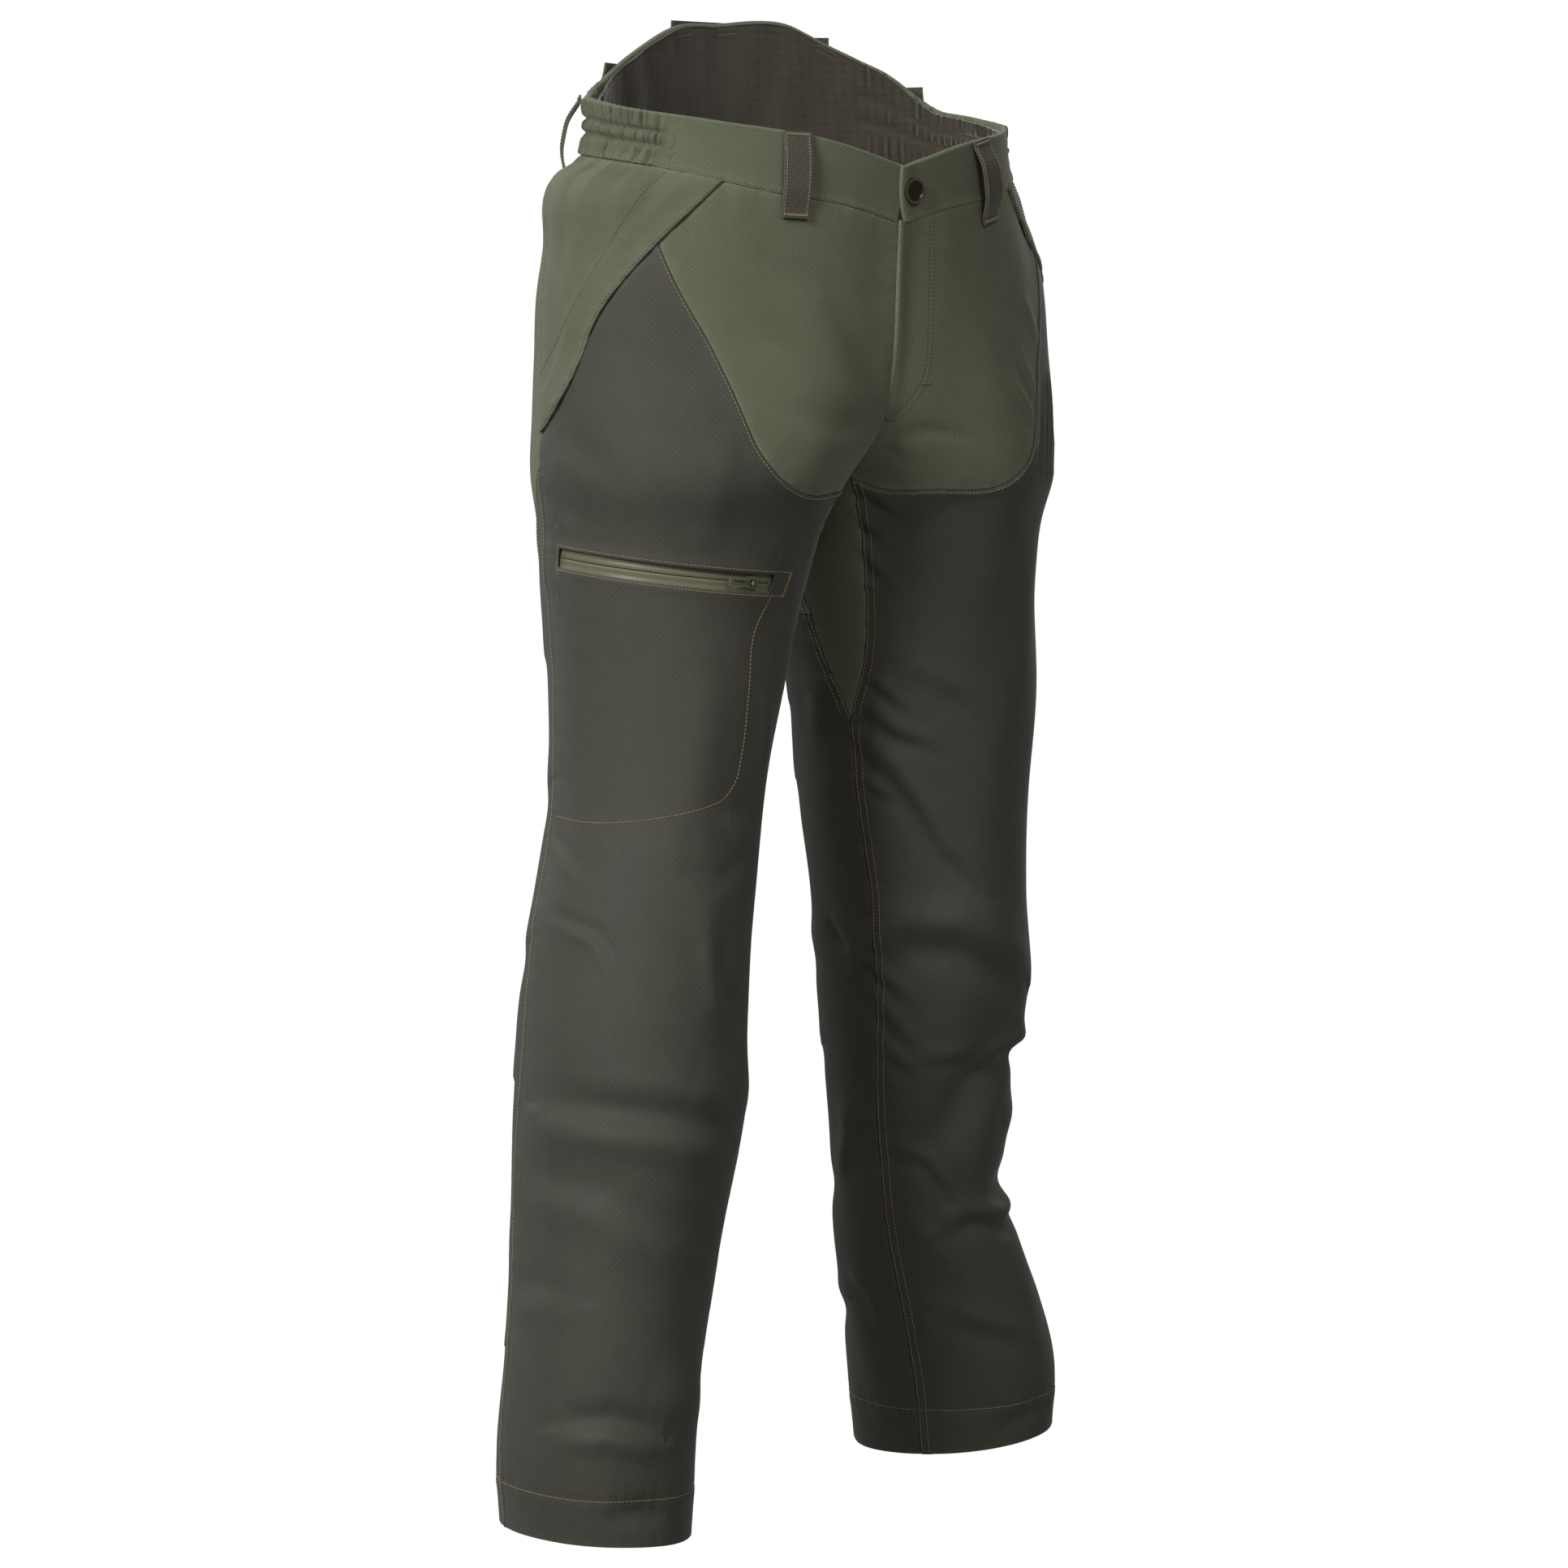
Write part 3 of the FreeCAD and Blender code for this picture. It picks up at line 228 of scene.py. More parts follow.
# ---------------------------------------------------------------- folds in the cloth
# kind, height of the fold, how wide it is, and the (height, angle) points that it runs along
FOLDS = {
    "right": [
        ("step", 5.2, 17, [(317, 80), (316, 58), (314, 35), (309, 8), (293, -36)]),
        ("ridge", 2.6, 15, [(334, 62), (335, 30), (329, 0), (312, -32)]),
        ("step", 2.2, 17, [(262, 88), (255, 38), (237, 17), (222, -12)]),
        ("step", 1.3, 14, [(174, 100), (184, 72), (181, 48)]),
        ("step", 4.2, 12, [(88, 50), (92, 22), (81, -10)]),
        ("ridge", 3.4, 20, [(112, 0), (108, -24), (98, -58)]),
        ("step", 1.5, 6, [(458, 86), (446, 54), (420, 41), (402, 37)]),
        ("step", 1.1, 7, [(513, 99), (490, 70)]),
        ("ridge", 2.4, 16, [(645, 18), (595, 12), (540, 12), (492, 8)]),
        ("ridge", -1.4, 9, [(534, 15), (493, 9), (486, -8), (500, -30)]),
        ("ridge", 2.2, 13, [(478, -4), (436, -8), (385, -12)]),
        ("step", 2.0, 10, [(538, -8), (516, -34)]),
        ("step", 1.9, 10, [(446, -8), (402, -16), (374, -38)]),
        ("ridge", 4.0, 24, [(345, -2), (330, -28), (322, -60)]),
        ("ridge", -3.0, 10, [(24, 22), (27, 2), (22, -18)]),
        ("step", 1.9, 13, [(926, 28), (907, 14), (872, 2), (832, -19)]),
        ("step", 1.5, 10, [(880, 24), (857, 8), (834, -12)]),
        ("step", 1.4, 10, [(823, 14), (808, -9), (812, -28)]),
        ("ridge", 1.0, 7, [(988, 43), (966, 37)]),
        ("step", 1.5, 13, [(806, 95), (776, 70)]),
        ("step", 1.3, 12, [(760, 102), (740, 83)]),
        ("ridge", 1.3, 13, [(820, 31), (773, 27), (724, 26)]),
        ("ridge", 2.6, 10, [(738, -5), (715, -18), (685, -30)]),
        ("ridge", -1.8, 9, [(775, 8), (757, -8), (733, -30)]),
        ("ridge", 2.0, 9, [(620, -24), (590, -30), (556, -34)]),
        ("step", 2.4, 16, [(640, 132), (612, 172), (604, 214)]),
        ("step", 2.8, 18, [(548, 120), (520, 165), (526, 220)]),
        ("step", 3.2, 17, [(432, 118), (402, 165), (410, 226)]),
        ("step", 2.6, 15, [(330, 128), (312, 170), (330, 222)]),
        ("ridge", 2.8, 20, [(214, 122), (196, 176), (210, 232)]),
        ("step", 3.0, 15, [(128, 132), (104, 178), (122, 226)]),
        ("step", 1.9, 14, [(716, 150), (700, 190), (712, 236)]),
    ],
    "left": [
        ("step", 4.0, 11, [(569, -74), (549, -60), (517, -46), (489, -37), (462, -20)]),
        ("step", 5.0, 18, [(404, -80), (423, -62), (420, -34), (402, -8), (383, 20)]),
        ("ridge", 2.6, 17, [(440, -50), (441, -20), (420, 12)]),
        ("step", 1.7, 6, [(625, -70), (612, -62), (598, -52)]),
        ("step", 2.2, 8, [(597, -72), (580, -58), (570, -40)]),
        ("step", 1.5, 6, [(540, -74), (528, -62)]),
        ("step", 2.2, 8, [(398, -86), (371, -62)]),
        ("step", 2.2, 8, [(374, -84), (333, -58)]),
        ("step", 1.9, 7, [(336, -80), (312, -56)]),
        ("step", 1.8, 9, [(322, -50), (326, -18)]),
        ("ridge", -4.2, 15, [(322, -14), (276, -34), (238, -60)]),
        ("ridge", 3.8, 18, [(300, 6), (262, -12), (226, -26)]),
        ("step", 2.2, 8, [(251, -76), (240, -50), (214, -35)]),
        ("step", 4.0, 10, [(184, -46), (196, -25), (188, 10), (196, 40)]),
        ("ridge", 2.6, 13, [(197, -68), (177, -53), (148, -42)]),
        ("step", 2.4, 12, [(118, -60), (106, -41), (90, -12)]),
        ("ridge", 2.0, 10, [(86, -79), (122, -56)]),
        ("ridge", -3.4, 9, [(16, -36), (28, -10), (26, 14)]),
        ("step", 5.0, 12, [(318, -6), (330, 22), (322, 62)]),
        ("ridge", -5.2, 14, [(210, -8), (220, 24), (212, 66)]),
        ("ridge", 4.0, 18, [(268, 10), (274, 46), (262, 84)]),
        ("step", 3.6, 12, [(150, 52), (132, 84), (104, 110)]),
        ("step", 2.0, 10, [(435, -112), (410, -95)]),
        ("ridge", 2.6, 9, [(152, -116), (132, -98), (96, -92)]),
        ("ridge", 2.6, 10, [(286, -110), (258, -107), (226, -120)]),
        ("ridge", 2.6, 12, [(626, -108), (611, -97), (574, -101)]),
        ("step", 1.5, 12, [(630, -50), (600, -18)]),
        ("ridge", -1.6, 6, [(806, -40), (811, -22), (806, -7)]),
        ("ridge", -1.5, 6, [(803, -42), (789, -36)]),
        ("ridge", 1.6, 7, [(912, 36), (876, 41)]),
        ("step", 1.6, 7, [(874, 25), (833, 29)]),
        ("step", 1.5, 7, [(843, 17), (815, 24)]),
        ("step", 1.7, 6, [(765, -58), (750, -47)]),
        ("step", 1.7, 6, [(746, -62), (728, -54)]),
        ("step", 1.7, 6, [(716, -62), (697, -55)]),
        ("ridge", -1.8, 12, [(762, -8), (745, -32), (727, -56)]),
        ("step", 2.4, 16, [(646, 130), (616, 172), (600, 220)]),
        ("step", 2.8, 18, [(556, 122), (530, 160), (536, 214)]),
        ("step", 3.4, 17, [(446, 112), (418, 160), (402, 222)]),
        ("step", 3.2, 14, [(336, 100), (316, 150), (326, 216)]),
        ("ridge", -3.6, 15, [(228, 96), (206, 150), (214, 224)]),
        ("step", 3.0, 15, [(132, 128), (108, 178), (118, 226)]),
        ("step", 1.9, 14, [(722, 150), (704, 190), (716, 236)]),
    ],
}


def fold_distance(half, h, a, points):
    """Distance from a fold's line, its sign and how far along the line, for each place."""
    q = half.mean_scale(h)
    best = np.full(h.shape, 1e9)
    sign = np.zeros(h.shape)
    along = np.zeros(h.shape)
    lengths = [math.hypot(p[0] - s[0], 1.5 * (p[1] - s[1])) for s, p in zip(points, points[1:])]
    total, done = sum(lengths), 0.0
    for (h0, a0), (h1, a1), length in zip(points, points[1:], lengths):
        gap = (a - a0 + 180) % 360 - 180
        px, py = gap * q, h - h0
        sx, sy = (a1 - a0) * q, h1 - h0
        t = np.clip((px * sx + py * sy) / (sx * sx + sy * sy), 0, 1)
        dx, dy = px - t * sx, py - t * sy
        d = np.hypot(dx, dy)
        near = d < best
        best = np.where(near, d, best)
        sign = np.where(near, np.sign(sx * py - sy * px), sign)
        along = np.where(near, (done + t * length) / total, along)
        done += length
    return best, sign, along


def folds(half, h, a):
    """Height of the listed folds at each place."""
    total = np.zeros(h.shape)
    for kind, height, width, points in FOLDS[half.name]:
        d, sign, along = fold_distance(half, h, a, points)
        fade = np.sin(np.pi * np.clip(along * 0.94 + 0.03, 0, 1)) ** 0.6
        if kind == "ridge":
            total += RIDGE_GAIN * height * bell(d, width) * fade
        else:
            s = d * sign / width
            total += height * STEP_GAIN * s * np.exp(-s * s) * fade
    return total


def sway(p):
    """Low uneven swell all over, from a few long waves."""
    waves = random.Random(5)
    total = np.zeros(p.shape[:-1])
    for _ in range(12):
        length = waves.uniform(55, 190)
        turn, lean = waves.uniform(0, math.pi), waves.uniform(-0.5, 0.5)
        k = np.array([math.cos(turn), math.sin(turn), lean * 0.8]) * 2 * math.pi / length
        total += math.sqrt(length) * 0.045 * np.sin(p @ k + waves.uniform(0, 6.3))
    return total


def blouse(half, h, a):
    """The hip cloth bags out under the gathered part of the waistband."""
    zone = ease((a - 52) / 30) * ease((158 - a) / 30)
    return BLOUSE_SIZE[half.name] * zone * bell(h - 982, 27) * ease((band_seam(a) + 3 - h) / 22)


def hip_gathers(half, h, a):
    """Soft upright folds that fall from the elastic's lower seam."""
    zone = ease((a - 58) / 12) * ease((146 - a) / 12)
    below = np.maximum(band_seam(a) - h, 0.0)
    phase = 0.9 * np.sin(h / 37.0) + (0.0 if half.name == "right" else 1.7)
    long = 1.5 * np.sin(a * 0.46 + phase) * np.exp(-below / 62.0)
    short = 0.9 * np.sin(a * 1.13 + 2.0 * phase) * np.exp(-below / 20.0)
    return zone * (long + short) * ease(below / 5.0 + 0.25)


def quiet_near_zip(half, h, a):
    """Share of the folds that is left near the thigh zip, the fly and the waist seams."""
    calm = np.ones(h.shape)
    if half.name == "right":
        z = zip_height(a)
        near = ease((a + 24) / 10) * ease((114 - a) / 8)
        calm = 1 - near * bell(np.maximum(np.abs(h - z) - 8, 0), 16)
    middle = np.abs(half.base(h, a)[..., 0])
    calm = calm * np.where(h > 760, 1 - bell(middle, 14), 1.0)
    return calm


def relief(half, h, a):
    """How far the cloth stands off the plain surface."""
    h, a = np.broadcast_arrays(np.asarray(h, float), np.asarray(a, float))
    swell = folds(half, h, a) + sway(half.base(h, a)) * ease((1000 - h) / 60)
    return swell * quiet_near_zip(half, h, a) + blouse(half, h, a) + hip_gathers(half, h, a)


# ---------------------------------------------------------------- the thigh zip's arc
ZIP_CENTRE = np.array((-110.6, 13.5, -289.6))
ZIP_UP = np.array((0.0748, -0.093, 1.0))
ZIP_UP /= np.linalg.norm(ZIP_UP)
ZIP_RADIUS = 96.5
ZIP_FRONT = np.array((0.0, -1.0, 0.0)) - ZIP_UP * -ZIP_UP[1]
ZIP_FRONT /= np.linalg.norm(ZIP_FRONT)
ZIP_SIDE = np.cross(-ZIP_UP, ZIP_FRONT)
WINDOW_FROM, WINDOW_TO, WINDOW_HALF = -8.0, 98.0, 7.0


def zip_point(phi, rise, out):
    """Point by its angle round the zip's arc, its rise over it and its distance off the teeth."""
    phi, rise, out = np.broadcast_arrays(np.radians(phi), rise, out)
    away = np.cos(phi)[..., None] * ZIP_FRONT + np.sin(phi)[..., None] * ZIP_SIDE
    return ZIP_CENTRE + away * (ZIP_RADIUS + out)[..., None] + ZIP_UP * rise[..., None]


right = Half("right", -1, RIGHT_ROWS)
left = Half("left", 1, LEFT_ROWS)


def solve_zip_height():
    """Table of the height at which the zip's middle plane meets the thigh, by leg angle."""
    angles = np.linspace(-60, 160, 221)
    low, high = np.full(angles.shape, 640.0), np.full(angles.shape, 780.0)
    for _ in range(30):
        middle = 0.5 * (low + high)
        above = (right.base(middle, angles) - ZIP_CENTRE) @ ZIP_UP > 0
        high = np.where(above, middle, high)
        low = np.where(above, low, middle)
    away = right.base(low, angles) - ZIP_CENTRE
    phi = np.degrees(np.arctan2(away @ ZIP_SIDE, away @ ZIP_FRONT))
    return angles, low, phi


ZIP_TABLE = solve_zip_height()


def zip_height(a):
    return np.interp(a, ZIP_TABLE[0], ZIP_TABLE[1])


def zip_angle(phi):
    """Leg angle of a place on the zip's arc."""
    return np.interp(phi, ZIP_TABLE[2], ZIP_TABLE[0])


# ---------------------------------------------------------------- panels
EDGE_STEPS = np.array((0.0, 0.3, 0.8, 1.5, 2.6, 4.2, 6.4, 9.0))
EDGE_COUNT = len(EDGE_STEPS)


def shares(k, count, length):
    """Share of a length at which line k of count lies; the lines crowd together by both edges."""
    tight = np.minimum(1.0, length / (2.3 * EDGE_STEPS[-1]))
    back = count - 1 - k
    low = EDGE_STEPS[np.clip(k, 0, EDGE_COUNT - 1)] * tight / length
    high = 1 - EDGE_STEPS[np.clip(back, 0, EDGE_COUNT - 1)] * tight / length
    first = EDGE_STEPS[-1] * tight / length
    middle = first + (1 - 2 * first) * (k - EDGE_COUNT + 1) / (count - 2 * EDGE_COUNT + 1)
    return np.where(k < EDGE_COUNT, low, np.where(back < EDGE_COUNT, high, middle))


def grid_quads(rows, columns):
    """Quads between the neighbouring points of a grid."""
    index = np.arange(rows * columns).reshape(rows, columns)
    quads = np.stack([index[:-1, :-1], index[:-1, 1:], index[1:, 1:], index[1:, :-1]], axis=-1)
    return quads.reshape(-1, 4)


def steepness(slope):
    """Turns a distance along one axis to a slanting seam into the distance to the seam."""
    return 1 / np.sqrt(1 + slope ** 2)


class Patch:
    """Places of a grid between two seams that run up the cloth and two that run across it."""

    def __init__(self, half, across, up, columns, rows, anchors=()):
        self.half = half
        column, row = np.meshgrid(np.arange(columns), np.arange(rows))
        h = np.full((rows, columns), 0.5 * float(up[0](0.0) + up[1](0.0)))
        a = np.zeros((rows, columns))
        for _ in range(14):
            a0, a1 = across[0](h), across[1](h)
            width = np.maximum((a1 - a0) * half.scale(h, 0.5 * (a0 + a1)), 1.0)
            a = a0 + (a1 - a0) * shares(column, columns, width)
            if anchors:
                a = self.pinned(a, anchors)
            h0, h1 = up[0](a), up[1](a)
            h = h0 + (h1 - h0) * shares(row, rows, np.maximum(h1 - h0, 1.0))
        self.h, self.a = h, a
        local = half.scale(h, a)
        lean = [(edge(h + 2) - edge(h - 2)) / 4 * local for edge in across]
        tilt = [(edge(a + 0.5) - edge(a - 0.5)) / np.maximum(local, 0.1) for edge in up]
        self.gaps = {
            "front": (a - across[0](h)) * local * steepness(lean[0]),
            "back": (across[1](h) - a) * local * steepness(lean[1]),
            "bottom": (h - up[0](a)) * steepness(tilt[0]),
            "top": (up[1](a) - h) * steepness(tilt[1]),
        }
        self.lift = np.zeros(h.shape)
        # Distance from each place to an edge that gets the painted highlight.
        self.wear = np.full(h.shape, NO_HIGHLIGHT)
        self.quads = grid_quads(rows, columns)

    @staticmethod
    def pinned(a, anchors):
        """Moves columns between the crowded ones so that some lie at stated angles."""
        count = a.shape[1]
        ends = [EDGE_COUNT - 1, count - EDGE_COUNT]
        known = [ends[0]] + [k for k, angle in anchors] + [ends[1]]
        inside = np.arange(ends[0], ends[1] + 1)
        out = a.copy()
        for j in range(a.shape[0]):
            values = [a[j, ends[0]]] + [angle for k, angle in anchors] + [a[j, ends[1]]]
            out[j, inside] = np.interp(inside, known, values)
        return out

    def seam(self, edge, where=None, **style):
        """Shapes the cloth by one of its edges."""
        gap = self.gaps[edge]
        s = self.h if edge in ("front", "back") else self.a * self.half.mean_scale(self.h)
        share = 1.0 if where is None else where(self.h, self.a)
        self.lift = self.lift + share * edge_lift(gap, s, **style)
        # Where this seam applies, its edge gets the painted highlight.
        near = np.where(np.asarray(share) > 0.5, np.maximum(gap, 0), NO_HIGHLIGHT)
        self.wear = np.minimum(self.wear, near)
        return self

    def roll(self, top, radius, down):
        """Carries the top edge over and down the inside, as a turned edge."""
        a = self.a[-1]
        crown = top(a) - radius
        hs, lifts = [self.h], [self.lift]
        for theta in np.radians((20, 45, 70, 90, 110, 135, 160, 180)):
            hs.append((crown + radius * math.sin(theta))[None])
            lifts.append((self.lift[-1] - radius * (1 - math.cos(theta)))[None])
        for drop in (2.0, 4.0, down):
            hs.append((crown - drop)[None])
            lifts.append((self.lift[-1] - 2 * radius)[None])
        rows = len(hs) - 1
        self.h = np.concatenate(hs)
        self.lift = np.concatenate(lifts)
        self.a = np.concatenate([self.a] + [a[None]] * rows)
        # The turned-over top edge gets a painted highlight along its whole fold.
        self.wear = np.concatenate([self.wear] + [np.full((1, len(a)), 1.0)] * rows)
        self.quads = grid_quads(*self.h.shape)


def seam_wave(s, seed):
    """Uneven pucker along a seam."""
    waves = random.Random(seed)
    total = np.zeros(np.shape(s))
    for length, size in ((5.5, 0.35), (9.0, 0.55), (14.0, 0.6), (27.0, 0.7), (61.0, 0.5)):
        drift = 1.4 * np.sin(s / waves.uniform(50, 90) + waves.uniform(0, 6))
        total = total + size * np.sin(2 * math.pi * s / (length * waves.uniform(0.9, 1.1)) + drift
                                      + waves.uniform(0, 6))
    return total


def edge_lift(gap, s, raised=0.0, groove=0.9, pucker=0.3, seed=1, width=6.0, reach=8.0):
    """Lip, groove and puckers by a panel's edge; s runs along the seam."""
    lip = raised * (1 - ease((gap - width) / 2.2))
    dip = (raised + groove) * np.clip(1 - gap / 1.0, 0, 1) ** 2
    wave = pucker * seam_wave(s, seed) * np.exp(-gap / reach) * ease(gap / 1.2 + 0.25)
    return lip - dip + wave


def place_points(half, h, a, lift):
    """Points of the cloth in millimetres, with its folds and a further lift."""
    normals = half.normal(h, a)
    base = half.base(h, a)
    shift = normals * (relief(half, h, a) + lift)[..., None]
    shift[..., 0] *= 1 - bell(base[..., 0], 6.0) * (h > CROTCH_BACK)
    return base + shift, normals


# ---------------------------------------------------------------- meshes
trees = {}
pieces = {}


def make_mesh(name, points, faces, uv=None, wear=None, smooth_angle=40.0):
    """Mesh object from millimetre points and quads; uv in metres of cloth."""
    mesh = bpy.data.meshes.new(name)
    faces = np.asarray(faces, dtype=np.int32)
    count = len(faces)
    size = faces.shape[1]
    mesh.vertices.add(len(points))
    mesh.vertices.foreach_set("co", (np.asarray(points) * MM).astype(np.float32).ravel())
    mesh.loops.add(count * size)
    mesh.loops.foreach_set("vertex_index", faces.ravel())
    mesh.polygons.add(count)
    mesh.polygons.foreach_set("loop_start", np.arange(0, count * size, size, dtype=np.int32))
    mesh.polygons.foreach_set("loop_total", np.full(count, size, dtype=np.int32))
    mesh.update(calc_edges=True)
    if uv is not None:
        layer = mesh.uv_layers.new(name="Cloth")
        places = np.asarray(uv)[faces.ravel()] * MM
        layer.data.foreach_set("uv", places.astype(np.float32).ravel())
    # Point attribute that sets how strongly each place gets the painted edge highlight.
    if wear is not None:
        layer = mesh.attributes.new("wear", "FLOAT", "POINT")
        layer.data.foreach_set("value", np.asarray(wear, dtype=np.float32))
    mesh.validate()
    mesh.polygons.foreach_set("use_smooth", np.ones(len(mesh.polygons), dtype=bool))
    if smooth_angle is not None:
        mesh.set_sharp_from_angle(angle=math.radians(smooth_angle))
    obj = bpy.data.objects.new(name, mesh)
    bpy.context.scene.collection.objects.link(obj)
    return obj


def finish_piece(obj, material, body="trousers", nodes=()):
    obj.data.materials.append(material)
    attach(obj, body)
    if nodes:
        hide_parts(*nodes)
    pieces[obj.name] = obj
    return obj


def facing(points, quads, normals):
    """Quads turned so that they face along the given normals."""
    sample = quads[:: max(1, len(quads) // 400)]
    a, b, c = (points[sample[:, k]] for k in (0, 1, 2))
    agree = np.einsum("ij,ij->i", np.cross(b - a, c - a), normals[sample[:, 0]])
    return quads if np.sum(np.sign(agree)) >= 0 else quads[:, ::-1]


def closed_cloth(name, outer, inner, quads, uv, wear, tree=True):
    """Closed sheet from its two faces, with walls along every free edge."""
    quads = facing(outer, quads, outer - inner)
    count = len(outer)
    loops = np.stack([quads, np.roll(quads, -1, axis=1)], axis=-1).reshape(-1, 2).astype(np.int64)
    codes = loops[:, 0] * count + loops[:, 1]
    backwards = loops[:, 1] * count + loops[:, 0]
    free = loops[~np.isin(backwards, codes)]
    walls = np.stack([free[:, 1], free[:, 0], free[:, 0] + count, free[:, 1] + count], axis=-1)
    faces = np.concatenate([quads, quads[:, ::-1] + count, walls])
    points = np.concatenate([outer, inner])
    obj = make_mesh(name, points, faces, np.concatenate([uv, uv]), np.concatenate([wear, wear]))
    if tree:
        trees[name] = BVHTree.FromPolygons((outer * MM).tolist(), quads.tolist())
    return obj


def cloth_piece(name, patches, thickness=CLOTH, tree=True):
    """One panel from one patch, or from two of which the upper starts where the lower ends."""
    half = patches[0].half
    h, a, lift, wear = (np.concatenate([getattr(p, field).ravel() for p in patches])
                        for field in ("h", "a", "lift", "wear"))
    quads = patches[0].quads
    if len(patches) == 2:
        start, columns = patches[0].h.size, patches[0].h.shape[1]
        number = np.arange(len(h))
        for k in range(columns):
            below, above = start - columns + k, start + k
            if abs(h[below] - h[above]) < 0.05:
                number[above] = below
        quads = number[np.concatenate([quads, patches[1].quads + start])]
    used, quads = np.unique(quads, return_inverse=True)
    quads = quads.reshape(-1, 4)
    h, a, lift, wear = h[used], a[used], lift[used], wear[used]
    outer, normals = place_points(half, h, a, lift)
    inner = outer - normals * thickness
    uv = np.stack([a * half.mean_scale(h) * half.side, h], axis=-1)
    # Distances to the edges turn into the strength of the painted edge highlight.
    return closed_cloth(name, outer, inner, quads, uv, np.exp(-wear / HIGHLIGHT_FADE), tree)


# ---------------------------------------------------------------- materials
def feed(tree, socket, value):
    """Links a socket to another one, or sets its value."""
    if isinstance(value, bpy.types.NodeSocket):
        tree.links.new(value, socket)
    else:
        socket.default_value = value


def node(tree, kind, links=None, **fields):
    """Shader node with its fields set and its inputs linked."""
    made = tree.nodes.new(kind)
    for key, value in fields.items():
        setattr(made, key, value)
    for key, value in (links or {}).items():
        feed(tree, made.inputs[key], value)
    return made


def rgb(red, green, blue):
    """Linear colour from 0-255 display values."""
    out = []
    for value in (red, green, blue):
        c = value / 255
        out.append(c / 12.92 if c <= 0.04045 else ((c + 0.055) / 1.055) ** 2.4)
    return (*out, 1.0)


def paler(colour, times):
    return [min(1.0, times * c) for c in colour[:3]] + [1.0]


def blended(tree, factor, first, second):
    mix = node(tree, "ShaderNodeMix", {0: factor, 6: first, 7: second}, data_type="RGBA",
               blend_type="MIX")
    return mix.outputs[2]


def reckon(tree, operation, *values):
    made = node(tree, "ShaderNodeMath", dict(enumerate(values)), operation=operation)
    return made.outputs[0]


def noise(tree, vector, scale, detail=3.0, roughness=0.55):
    made = node(tree, "ShaderNodeTexNoise", {"Vector": vector, "Scale": scale, "Detail": detail,
                                             "Roughness": roughness})
    return made.outputs[0]


def new_material(name, **settings):
    """Material, its node tree and its main shader, with the shader's inputs set."""
    material = bpy.data.materials.new(name)
    material.use_nodes = True
    shader = material.node_tree.nodes["Principled BSDF"]
    for key, value in settings.items():
        shader.inputs[key.replace("_", " ")].default_value = value
    return material, material.node_tree, shader


def bumped(tree, shader, height, strength, distance):
    bump = node(tree, "ShaderNodeBump", {"Height": height, "Strength": strength,
                                         "Distance": distance * MM})
    tree.links.new(bump.outputs[0], shader.inputs["Normal"])


def fabric(name, colour, shade, light, thread=0.55, relief_size=0.35, rough=0.86, sheen=0.25,
           nap=0.0, twill=True, from_uv=True, mottle=0.5):
    """Woven cloth: two sets of threads, slubs, a broken tone and a painted highlight on raised
    edges.
    """
    material, tree, shader = new_material(
        name, Roughness=rough, Sheen_Weight=sheen, Sheen_Roughness=0.45, Specular_IOR_Level=0.3)

    def times(one, other):
        return reckon(tree, "MULTIPLY", one, other)
    solid = node(tree, "ShaderNodeTexCoord").outputs["Object"]
    flat = node(tree, "ShaderNodeUVMap", uv_map="Cloth").outputs[0] if from_uv else solid
    turn = node(tree, "ShaderNodeMapping",
                {"Vector": flat, "Rotation": (0, 0, math.radians(38 if twill else 0))})
    count = 1.0 / (thread * MM)
    warp, weft = (node(tree, "ShaderNodeTexWave",
                       {"Vector": turn.outputs[0], "Scale": count / size, "Distortion": 0.7,
                        "Detail": 1.0, "Detail Scale": 2.0}, bands_direction=way).outputs[1]
                  for way, size in (("X", 20), ("Y", 14)))
    weave = times(reckon(tree, "ADD", warp, weft), 0.5)
    slub, fine = noise(tree, solid, 900.0, 2.0), noise(tree, solid, 2600.0, 1.0)
    broad, blotch = noise(tree, solid, 9.0, 4.0), noise(tree, solid, 55.0, 3.0)
    grain = reckon(tree, "ADD", times(slub, 0.55), times(fine, 0.45))
    tone = blended(tree, times(weave, 0.8), shade, colour)
    tone = blended(tree, reckon(tree, "MULTIPLY_ADD", grain, 1.4, -0.45), tone, light)
    patchy = reckon(tree, "MULTIPLY_ADD", reckon(tree, "ADD", broad, blotch), mottle,
                    -0.5 * mottle - 0.1)
    tone = blended(tree, patchy, tone, light)
    # Painted highlight: edges that stand up (seam lips, the turned waistband top, strap edges) are
    # painted paler, broken up by noise.
    edge = node(tree, "ShaderNodeAttribute", attribute_name="wear").outputs["Fac"]
    painted_highlight = times(edge, times(noise(tree, solid, 240.0, 2.0), 0.62))
    tone = blended(tree, painted_highlight, tone, paler(light, 1.5))
    tree.links.new(tone, shader.inputs["Base Color"])
    height = reckon(tree, "ADD", times(weave, 0.7), times(grain, 0.6 + nap))
    bumped(tree, shader, height, relief_size, 0.25)
    return material


